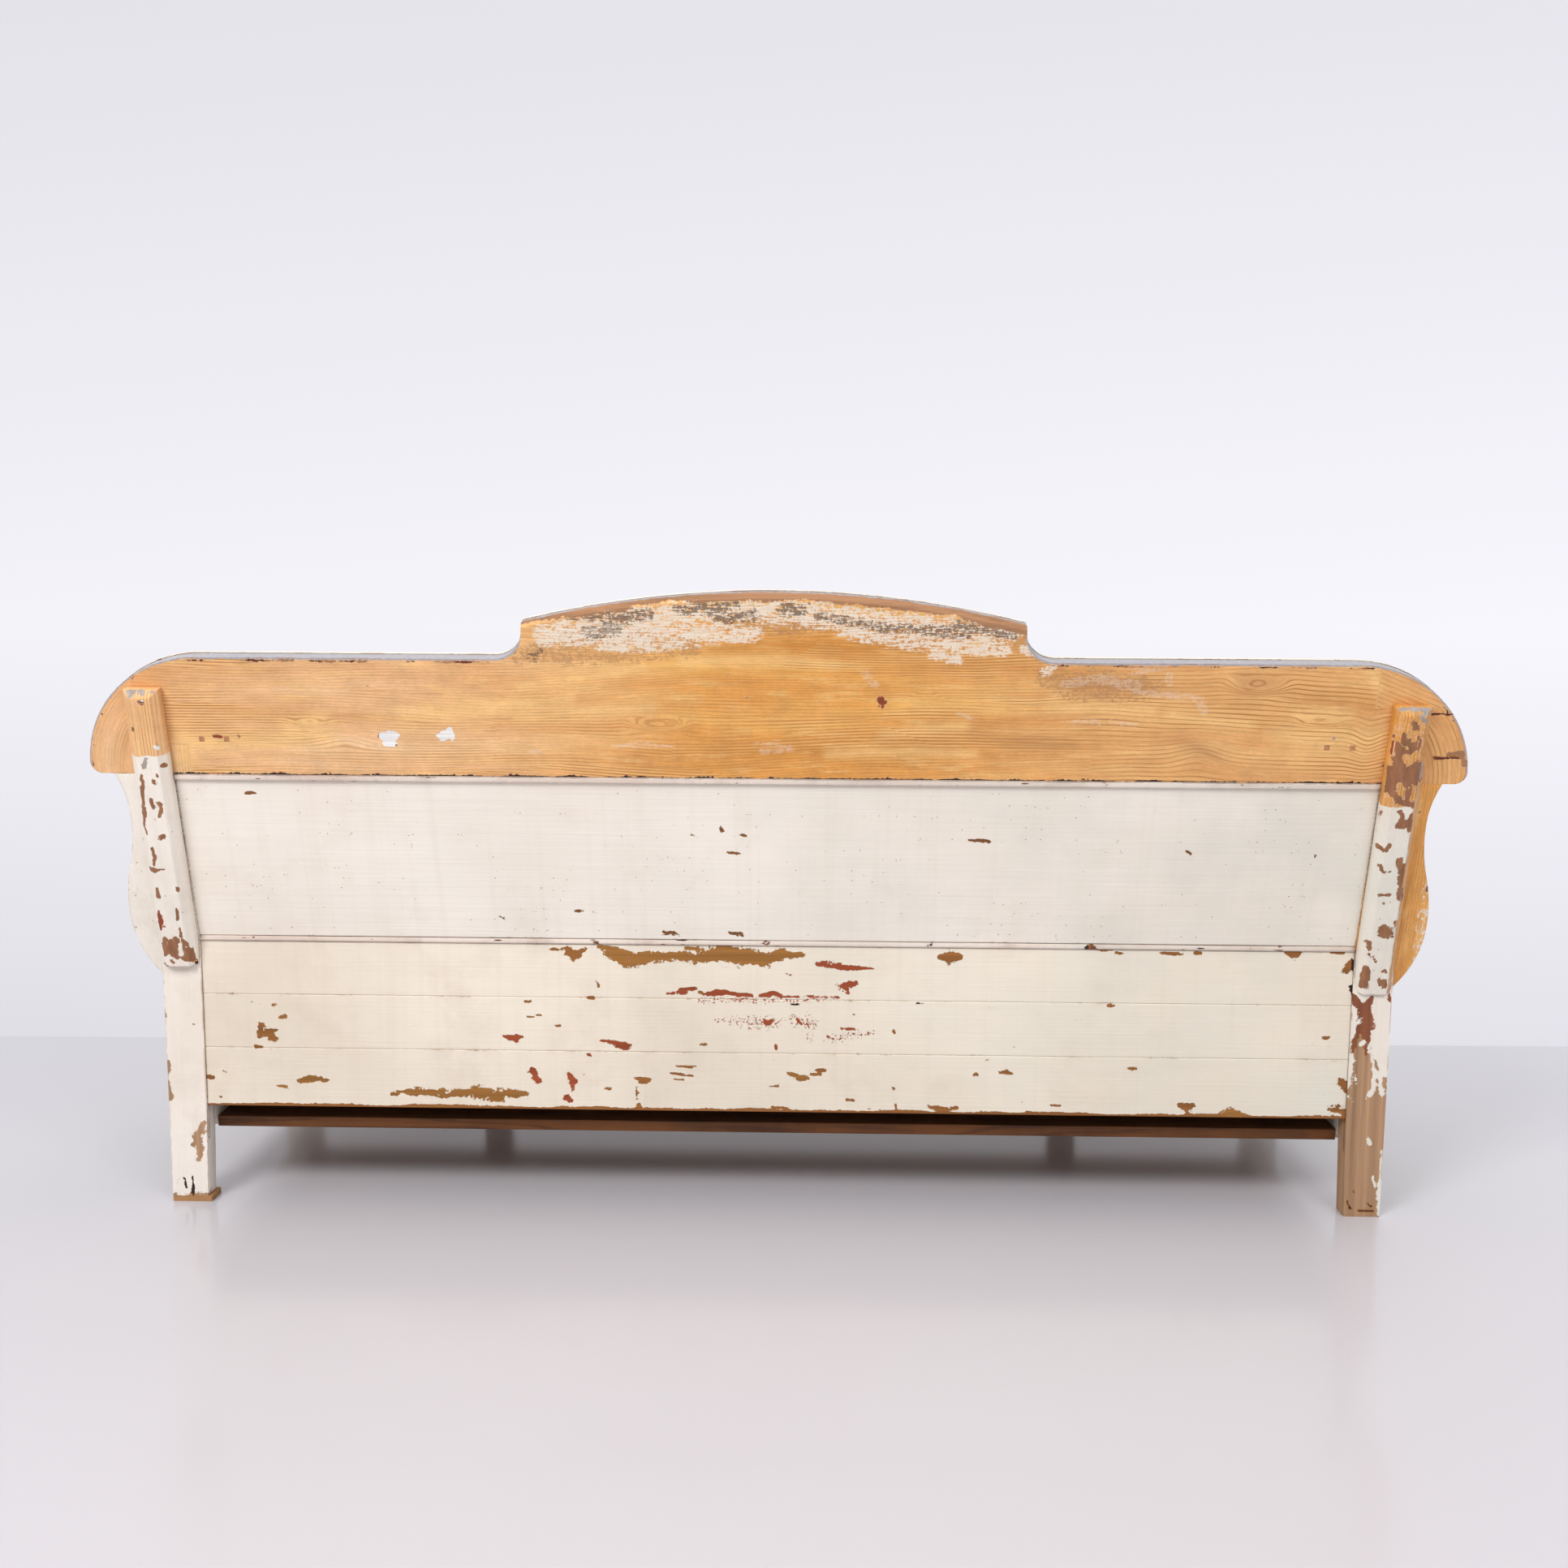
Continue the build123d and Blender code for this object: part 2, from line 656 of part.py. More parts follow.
def knuckle_spans(middle):
    """Two ends of each knuckle of the hinge at a place along the seat."""
    length = hinge_length / knuckle_count
    start = middle - hinge_length / 2
    spans = []
    for index in range(knuckle_count):
        left = start + index * length + (knuckle_gap / 2 if index else 0)
        right = start + (index + 1) * length - (knuckle_gap / 2 if index < knuckle_count - 1 else 0)
        spans.append((left, right))
    return spans


def pin_cylinder(x, radius):
    """Cylinder about the hinge axis between two x."""
    start = Plane(origin=(x[0], back_y - hinge_depth, seat_top + knuckle_lift), z_dir=(1, 0, 0))
    return extrude(start * Circle(radius), amount=x[1] - x[0])


def leaf_plate(middle, fixed):
    """Flat part of a leaf, let into the edge of the strip (fixed) or of the lid."""
    half_gap = lid_joint_gap / 2
    near = hinge_depth - half_gap - leaf_thickness if fixed else hinge_depth + half_gap
    depths = (near, near + leaf_thickness)
    return block(span(middle, hinge_length), depths, (seat_top - leaf_drop, seat_top)), depths


def hinge_leaves(fixed):
    leaves = []
    for middle in (-hinge_reach, 0, hinge_reach):
        leaf, depths = leaf_plate(middle, fixed)
        for x in knuckle_spans(middle)[0 if fixed else 1::2]:
            leaf += block(x, depths, (seat_top, seat_top + knuckle_lift))
            leaf += pin_cylinder(x, knuckle_radius)
        leaves.append(leaf - pin_cylinder((-far, far), pin_radius + pin_clearance))
    return leaves


def hinge_pins():
    pins = []
    for middle in (-hinge_reach, 0, hinge_reach):
        left, right = span(middle, hinge_length)
        pin = pin_cylinder((left - pin_head_height, right + pin_head_height), pin_radius)
        pin += pin_cylinder((left - pin_head_height, left), pin_head_radius)
        pin += pin_cylinder((right, right + pin_head_height), pin_head_radius)
        pins.append(pin)
    return pins


def seat():
    """Fixed strip at the back, and the hinged lid of two boards held by cleats."""
    heights = (seat_base, seat_top)
    half_gap = lid_joint_gap / 2
    strip = block((-inner_half, inner_half), (board_front, hinge_depth - half_gap), heights)
    rear = block((-running_half, running_half), (hinge_depth + half_gap, lid_seam_depth), heights)
    front = block((-running_half, running_half), (lid_seam_depth, carcass_depth + lid_nose), heights)
    for middle in (-hinge_reach, 0, hinge_reach):
        strip -= leaf_plate(middle, True)[0]
        rear -= leaf_plate(middle, False)[0]
    rear = chamfer(rear.faces().sort_by(Axis.Y)[0].edges().sort_by(Axis.Z)[-1], seam_chamfer)
    front = chamfer(front.faces().sort_by(Axis.Y)[-1].edges().sort_by(Axis.Z)[-1], seam_chamfer)
    front = fillet(front.faces().sort_by(Axis.Y)[0].edges().filter_by(Axis.X), nose_round)
    save("seat_strip", strip)
    save("lid_rear_board", rear)
    save("lid_front_board", front)
    cleat_depths = (hinge_depth + cleat_setback, front_back - cleat_nose)
    save("lid_cleats", *[block(span(middle, cleat_width), cleat_depths, (seat_base - cleat_height, seat_base))
                         for middle in (-cleat_reach, 0, cleat_reach)])
    save("hinge_leaves_fixed", *hinge_leaves(True))
    save("hinge_leaves_moving", *hinge_leaves(False))
    save("hinge_pins", *hinge_pins())


crest()
crest_moulding()
back_panel()
lower_boards()
seat_level_rails()
ends()
bed_bottom()
pull_front()
pull_carriage()
seat()
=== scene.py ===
import json
import math

import bpy
import numpy as np
from mathutils import Matrix, Vector

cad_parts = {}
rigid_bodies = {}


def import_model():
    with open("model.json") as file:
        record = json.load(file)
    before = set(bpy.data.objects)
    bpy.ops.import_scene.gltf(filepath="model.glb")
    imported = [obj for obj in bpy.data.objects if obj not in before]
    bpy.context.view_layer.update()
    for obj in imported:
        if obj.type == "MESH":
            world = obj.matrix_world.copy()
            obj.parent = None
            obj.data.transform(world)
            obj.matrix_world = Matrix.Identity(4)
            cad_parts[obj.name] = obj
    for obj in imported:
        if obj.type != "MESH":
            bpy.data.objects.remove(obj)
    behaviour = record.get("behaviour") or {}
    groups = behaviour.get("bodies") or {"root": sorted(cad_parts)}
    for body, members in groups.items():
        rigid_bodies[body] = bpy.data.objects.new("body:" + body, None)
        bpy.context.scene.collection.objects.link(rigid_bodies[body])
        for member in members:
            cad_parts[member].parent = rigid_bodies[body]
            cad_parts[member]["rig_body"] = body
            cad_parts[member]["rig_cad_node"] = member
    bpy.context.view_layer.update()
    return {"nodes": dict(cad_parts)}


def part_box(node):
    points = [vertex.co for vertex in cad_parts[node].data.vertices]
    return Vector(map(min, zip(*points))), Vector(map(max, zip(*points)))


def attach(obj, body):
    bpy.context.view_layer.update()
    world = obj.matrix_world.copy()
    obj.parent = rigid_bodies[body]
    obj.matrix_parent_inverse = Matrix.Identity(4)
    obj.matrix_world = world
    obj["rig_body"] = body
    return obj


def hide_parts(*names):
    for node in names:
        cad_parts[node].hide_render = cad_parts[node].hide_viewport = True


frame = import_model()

nodes = frame["nodes"]

# lines of the bench in metres: back of the rear legs, where the back starts to lean, and how far it leans
benchLines = {"backY": 0.220978, "breakZ": 0.440, "lean": math.radians(15.0)}


# small helpers

def hexLinear(code):
    parts = [int(code[i:i + 2], 16) / 255 for i in (1, 3, 5)]
    return tuple(p / 12.92 if p <= 0.04045 else ((p + 0.055) / 1.055) ** 2.4 for p in parts) + (1.0,)


def feed(tree, node, inputs):
    for socket, value in inputs.items():
        if isinstance(value, bpy.types.NodeSocket):
            tree.links.new(value, node.inputs[socket])
        else:
            node.inputs[socket].default_value = value


def addNode(tree, kind, settings=None, inputs=None):
    node = tree.nodes.new("ShaderNode" + kind)
    for name, value in (settings or {}).items():
        setattr(node, name, value)
    feed(tree, node, inputs or {})
    return node


def readField(tree, name, output="Fac"):
    return addNode(tree, "Attribute", {"attribute_name": name}).outputs[output]


def stretch(tree, vector, scale, shift=(0, 0, 0)):
    return addNode(tree, "Mapping", None, {0: vector, 1: shift, 3: scale}).outputs[0]


def noise(tree, vector, scale, detail, roughness=0.5, shift=(0, 0, 0)):
    # a single scale is the same in all directions, three are one for each axis
    if isinstance(scale, tuple):
        vector, scale = stretch(tree, vector, scale, shift), 1.0
    return addNode(tree, "TexNoise", None,
                   {"Vector": vector, "Scale": scale, "Detail": detail, "Roughness": roughness}).outputs[0]


def remap(tree, value, low, high, newLow=0.0, newHigh=1.0):
    return addNode(tree, "MapRange", None, {0: value, 1: low, 2: high, 3: newLow, 4: newHigh}).outputs[0]


def maths(tree, operation, *values, clamp=False):
    return addNode(tree, "Math", {"operation": operation, "use_clamp": clamp}, dict(enumerate(values))).outputs[0]


def times(tree, first, second, clamp=False):
    return maths(tree, "MULTIPLY", first, second, clamp=clamp)


def scaled(tree, vector, factor):
    return addNode(tree, "VectorMath", {"operation": "SCALE"}, {0: vector, 3: factor}).outputs[0]


def between(tree, share, first, second):
    return addNode(tree, "Mix", {"data_type": "FLOAT"}, {0: share, 2: first, 3: second}).outputs[0]


def blend(tree, share, first, second):
    first, second = (hexLinear(colour) if isinstance(colour, str) else colour for colour in (first, second))
    return addNode(tree, "Mix", {"data_type": "RGBA"}, {0: share, 6: first, 7: second}).outputs[2]


def splitVector(tree, vector):
    return addNode(tree, "SeparateXYZ", None, {0: vector}).outputs


def splitColour(tree, colour):
    return addNode(tree, "SeparateColor", None, {0: colour}).outputs


def shades(tree, value, stops, interpolation="LINEAR"):
    # a colour ramp from pairs of place and colour, lowest first
    node = addNode(tree, "ValToRGB", None, {0: value})
    ramp = node.color_ramp
    ramp.interpolation = interpolation
    for i, (position, colour) in enumerate(stops):
        stop = ramp.elements[i] if i < 2 else ramp.elements.new(position)
        stop.position, stop.color = position, hexLinear(colour)
    return node.outputs[0]


def relief(tree, strength, distance, height):
    return addNode(tree, "Bump", None, {"Strength": strength, "Distance": distance, "Height": height}).outputs[0]


def newMaterial(name):
    material = bpy.data.materials.new(name)
    material.use_nodes = True
    tree = material.node_tree
    return material, tree, tree.nodes["Principled BSDF"]


def pickOnly(piece):
    bpy.ops.object.select_all(action="DESELECT")
    piece.select_set(True)
    bpy.context.view_layer.objects.active = piece


def applyModifier(piece, kind, settings):
    pickOnly(piece)
    bpy.ops.object.modifier_add(type=kind)
    modifier = piece.modifiers[-1]
    for name, value in settings.items():
        setattr(modifier, name, value)
    bpy.ops.object.modifier_apply(modifier=modifier.name)


def setMaterial(piece, material):
    piece.data.materials.clear()
    piece.data.materials.append(material)


# camera, floor, wall and light

cameraSpot = {"place": (-0.05458, 2.50569, 0.97580), "turn": 0.0173, "tiltDown": 0.1208, "roll": 0.0063,
              "lens": 33.583, "sensorWidth": 36, "near": 0.05, "far": 100}

bpy.ops.object.camera_add(location=cameraSpot["place"])
camera = bpy.context.object
camera.name = "studioCamera"
camera.data.sensor_width = cameraSpot["sensorWidth"]
camera.data.lens = cameraSpot["lens"]
camera.data.clip_start = cameraSpot["near"]
camera.data.clip_end = cameraSpot["far"]
turn = (Matrix.Rotation(math.pi + cameraSpot["turn"], 4, "Z")
        @ Matrix.Rotation(math.pi / 2 - cameraSpot["tiltDown"], 4, "X")
        @ Matrix.Rotation(cameraSpot["roll"], 4, "Z"))
camera.rotation_euler = turn.to_euler()
bpy.context.scene.camera = camera
bpy.context.scene.view_settings.view_transform = "Standard"

studio = {"floorSize": 30, "floorColour": "#cbc7cc", "floorFar": "#c7c6cc", "floorRoughness": 0.17,
          "floorPaintedLight": (0.95, 1.09), "wallY": -0.7055, "wallTurn": 0.0166, "wallSunk": 0.01,
          "wallLow": "#dfdee4", "wallMiddle": "#f3f2f8", "wallTop": "#e3e2e8", "wallHeight": 2.2,
          "wallMiddleAt": 0.42, "wallPaintedLightLift": 1.055, "skyColour": "#ffffff", "skyLow": 0.27, "skyHigh": 0.94}

# poured and waxed studio floor: pale, with blurred reflections of the legs
bpy.ops.mesh.primitive_plane_add(size=studio["floorSize"], location=(0, 0, 0))
floor = bpy.context.object
floor.name = "studioFloor"
floorResin, tree, shader = newMaterial("wax polished floor")
place = addNode(tree, "TexCoord").outputs["Object"]
smear = noise(tree, place, scale=1.6, detail=1.0)
towards = splitVector(tree, place)
nearness = remap(tree, towards[1], -0.8, 1.2)
tone = blend(tree, nearness, studio["floorFar"], studio["floorColour"])
# painted light: the floor's colour is made lighter towards -X and darker towards +X
paintedLightScale = remap(tree, towards[0], 2.0, -2.0, *studio["floorPaintedLight"])
tone = scaled(tree, tone, paintedLightScale)
shine = remap(tree, smear, 0, 1, studio["floorRoughness"] - 0.02, studio["floorRoughness"] + 0.02)
feed(tree, shader, {"Base Color": tone, "Roughness": shine})
setMaterial(floor, floorResin)

# glowing studio wall behind the bench as the camera sees it, shown to the camera alone and only on this side, with
# painted light and shade: darker low down and at the top
wallPlace = (0, studio["wallY"], studio["floorSize"] / 2 - studio["wallSunk"])
bpy.ops.mesh.primitive_plane_add(size=studio["floorSize"], location=wallPlace,
                                 rotation=(math.pi / 2, 0, math.pi + studio["wallTurn"]))
wall = bpy.context.object
wall.name = "studioWall"
bpy.ops.object.transform_apply(location=True, rotation=True, scale=True)
wall.visible_diffuse = False
wall.visible_shadow = False
wall.visible_glossy = False
wallPaint, tree, shader = newMaterial("glowing wall with painted light and shade")
place = addNode(tree, "TexCoord").outputs["Object"]
height = splitVector(tree, place)[2]
rise = remap(tree, height, 0.0, studio["wallHeight"])
shade = shades(tree, rise, [(0.0, studio["wallLow"]), (studio["wallMiddleAt"], studio["wallMiddle"]),
                            (1.0, studio["wallTop"])])
side = splitVector(tree, place)[0]
# painted light: the wall glows brighter towards -X
paintedLightScale = remap(tree, side, 2.2, -2.2, 1.0, studio["wallPaintedLightLift"])
shade = scaled(tree, shade, paintedLightScale)
glow = addNode(tree, "Emission", None, {"Color": shade, "Strength": 1.0}).outputs[0]
clear = addNode(tree, "BsdfTransparent").outputs[0]
behind = addNode(tree, "NewGeometry").outputs["Backfacing"]
seen = addNode(tree, "MixShader", None, {0: behind, 1: glow, 2: clear}).outputs[0]
tree.links.new(seen, tree.nodes["Material Output"].inputs["Surface"])
setMaterial(wall, wallPaint)

world = bpy.data.worlds.new("softStudio")
bpy.context.scene.world = world
world.use_nodes = True
tree = world.node_tree
tree.nodes.clear()
rays = addNode(tree, "LightPath")
shown = maths(tree, "MAXIMUM", rays.outputs["Is Camera Ray"], rays.outputs["Is Glossy Ray"])
shown = maths(tree, "MAXIMUM", shown, rays.outputs["Is Transmission Ray"])
aim = addNode(tree, "TexCoord").outputs["Generated"]
aim = splitVector(tree, aim)[2]
dome = remap(tree, aim, 0.05, 0.9, studio["skyLow"], studio["skyHigh"])
lit = addNode(tree, "Background", None, {"Color": hexLinear(studio["skyColour"]), "Strength": dome}).outputs[0]
backdrop = addNode(tree, "Background", None, {"Color": hexLinear(studio["wallMiddle"]), "Strength": 1.0}).outputs[0]
mixed = addNode(tree, "MixShader", None, {0: shown, 1: lit, 2: backdrop}).outputs[0]
addNode(tree, "OutputWorld", None, {"Surface": mixed})

lampAim = (0, 0, 0.5)
lamps = {"keyLight": {"place": (2.1, 3.2, 3.5), "size": 1.8, "power": 118},
         "rearFill": {"place": (-1.8, 3.0, 3.4), "size": 1.8, "power": 37},
         "frontFill": {"place": (-0.8, -3.6, 2.2), "size": 3.0, "power": 37}}
for name, lamp in lamps.items():
    bpy.ops.object.light_add(type="AREA", location=lamp["place"])
    light = bpy.context.object
    light.name = name
    light.data.shape = "DISK"
    light.data.size = lamp["size"]
    light.data.energy = lamp["power"]
    light.visible_glossy = False
    light.rotation_euler = (Vector(lampAim) - Vector(lamp["place"])).to_track_quat("-Z", "Y").to_euler()
print("studio ready")


# finishes

layerCode = {"spatter": 0.4, "wood": 0.0, "ochre": 0.2, "red": 0.4, "dark": 0.6, "grey": 0.8, "white": 1.0}
# strokes of the brush about 3 mm wide and 200 mm long, torn edges 15 to 30 mm apart, faint drips across the boards
brushRun = {"X": (5, 300, 300), "Y": (300, 5, 300), "Z": (300, 300, 5)}
biteRun = {"X": (34, 34, 90), "Y": (90, 34, 90), "Z": (80, 80, 40)}
dripRun = {"X": (90, 2, 2), "Y": (2, 90, 2), "Z": (90, 2, 2)}
# scale of a wave texture whose bands lie one metre apart
waveScale = 0.314


def combColour(tree, look):
    # graining: a thin brown glaze drawn with a comb over a yellow ground, teeth 4 to 8 mm apart
    along = readField(tree, "combRun", "Vector")
    turned = readField(tree, "combTurned", "Vector")
    turnMask = readField(tree, "turnMask")
    coarse = readField(tree, "coarse")
    endTintsAndLight = readField(tree, "endTintsAndLight", "Vector")
    endTintsAndLight = splitVector(tree, endTintsAndLight)
    golden = readField(tree, "golden")
    dusky = readField(tree, "dusky")
    turnMask = maths(tree, "GREATER_THAN", turnMask, 0.5)
    run = addNode(tree, "Mix", {"data_type": "VECTOR"}, {0: turnMask, 4: along, 5: turned}).outputs[1]
    stretched = stretch(tree, run, (7, 40, 1))
    wander = addNode(tree, "TexNoise", None, {"Vector": stretched, "Scale": 1.0, "Detail": 2.0}).outputs[1]
    wander = addNode(tree, "VectorMath", {"operation": "SUBTRACT"}, {0: wander, 1: (0.5, 0.5, 0.5)}).outputs[0]
    wander = scaled(tree, wander, look["wander"])
    run = addNode(tree, "VectorMath", {"operation": "ADD"}, {0: run, 1: wander}).outputs[0]
    # each pull of the comb is about 45 mm wide and 400 mm long, a little askew and out of step with the next
    pullRun = stretch(tree, run, (2.3, 21, 1))
    pull = addNode(tree, "TexVoronoi", None, {"Vector": pullRun, "Scale": 1.0, "Randomness": 0.95}).outputs["Color"]
    pull = splitColour(tree, pull)
    split = splitVector(tree, run)
    askew = remap(tree, pull[2], 0, 1, -0.035, 0.035)
    askew = times(tree, askew, split[0])
    step = maths(tree, "MULTIPLY_ADD", pull[0], 0.02, askew)
    smooth = remap(tree, coarse, 0, 1, 1.0, 0.0)
    step = times(tree, step, smooth)
    step = addNode(tree, "CombineXYZ", None, {1: step}).outputs[0]
    toothRun = addNode(tree, "VectorMath", {"operation": "ADD"}, {0: run, 1: step}).outputs[0]
    waves = []
    for spacing in (look["fineTeeth"], look["wideTeeth"]):
        wave = addNode(tree, "TexWave", {"wave_type": "BANDS", "bands_direction": "Y"},
                       {"Vector": toothRun, "Scale": waveScale / spacing, "Distortion": 0.0})
        waves.append(wave.outputs[1])
    fine = remap(tree, waves[0], 0.45, 0.95)
    wide = remap(tree, waves[1], 0.68, 0.99)
    teeth = between(tree, coarse, fine, wide)
    press = noise(tree, run, (5, 34, 1), detail=4.0, roughness=0.6, shift=(3.1, 7.7, 0))
    press = remap(tree, press, 0.40, 0.66, 0.08, 1.0)
    patchy = remap(tree, pull[1], 0, 1, 0.25, 1.35)
    patchy = between(tree, coarse, patchy, 1.0)
    press = times(tree, press, patchy)
    amount = remap(tree, coarse, 0, 1, look["fineDepth"], look["wideDepth"])
    press = times(tree, press, amount, clamp=True)

    # ground: streaked along the board, pinker and, as painted light, lighter at one end, deepest in the middle
    band = noise(tree, run, (1.7, 17, 1), detail=5.0, roughness=0.62)
    for part, share in (("middle", None), ("pinkLitEnd", endTintsAndLight[0]), ("dullEnd", endTintsAndLight[1])):
        streaked = shades(tree, band, zip((0.32, 0.50, 0.68), look[part]))
        ground = streaked if share is None else blend(tree, share, ground, streaked)
    ground = blend(tree, golden, ground, look["line"])
    fibre = noise(tree, run, (16, 330, 1), detail=4.0, roughness=0.7)
    blotch = noise(tree, run, scale=22.0, detail=5.0, roughness=0.65)
    uneven = maths(tree, "ADD", fibre, blotch)
    uneven = remap(tree, uneven, 0.7, 1.3, 0.82, 1.15)
    # the yellow ground shows through in patches where the glaze was wiped thin
    wiped = noise(tree, run, (9, 60, 1), detail=6.0, roughness=0.7, shift=(5.3, 2.1, 0))
    wiped = remap(tree, wiped, 0.53, 0.66, 0.0, 0.62)
    ground = blend(tree, wiped, ground, look["line"])
    # fine dry grit along the board
    grit = noise(tree, run, (110, 620, 1), detail=5.0, roughness=0.8)
    grit = remap(tree, grit, 0.32, 0.68, 0.87, 1.12)
    uneven = times(tree, uneven, grit)
    ground = scaled(tree, ground, uneven)

    gap = maths(tree, "SUBTRACT", 1.0, teeth)
    gap = times(tree, gap, press)
    gap = times(tree, gap, look["gapShare"])
    colour = blend(tree, gap, ground, look["line"])
    drawn = times(tree, teeth, press)
    colour = blend(tree, drawn, colour, look["glaze"])
    smudge = maths(tree, "ADD", press, blotch)
    shaded = remap(tree, smudge, 0.45, 1.15, 0.15, 1.4)
    shaded = times(tree, shaded, dusky, clamp=True)
    colour = blend(tree, shaded, colour, look["dusk"])
    return colour, teeth


combLook = {"fineTeeth": 0.0046, "wideTeeth": 0.0068, "wander": 0.004,
            "fineDepth": 0.8, "wideDepth": 0.90, "gapShare": 0.55,
            "middle": ("#cd8836", "#e39e4c", "#f2b963"), "pinkLitEnd": ("#dfa66d", "#eebb88", "#f8cfa2"),
            "dullEnd": ("#d09252", "#e3a667", "#f3be7c"), "line": "#f8ca84", "glaze": "#b37233", "dusk": "#af7a49"}


# films left over the graining, dragged along the board: how ragged, two colours, where the noise starts, cover
films = {"scrape": (2.0, ("#cb955b", "#a57a52"), 0.0, 0.62), "creamLeft": (1.8, ("#f8eee0", "#e6d2b8"), 3.7, 0.97),
         "soot": (3.2, ("#4c372a", "#86694f"), 7.9, 0.90), "scuff": (3.4, ("#f3ece5", "#ecd6bd"), 12.3, 0.30),
         "rim": (0.35, ("#b4b3b9", "#9c9ba2"), 5.1, 0.96)}
flakeShades = {"dark": "#2f211a", "grey": "#b4a79e", "white": "#f3f0ee"}


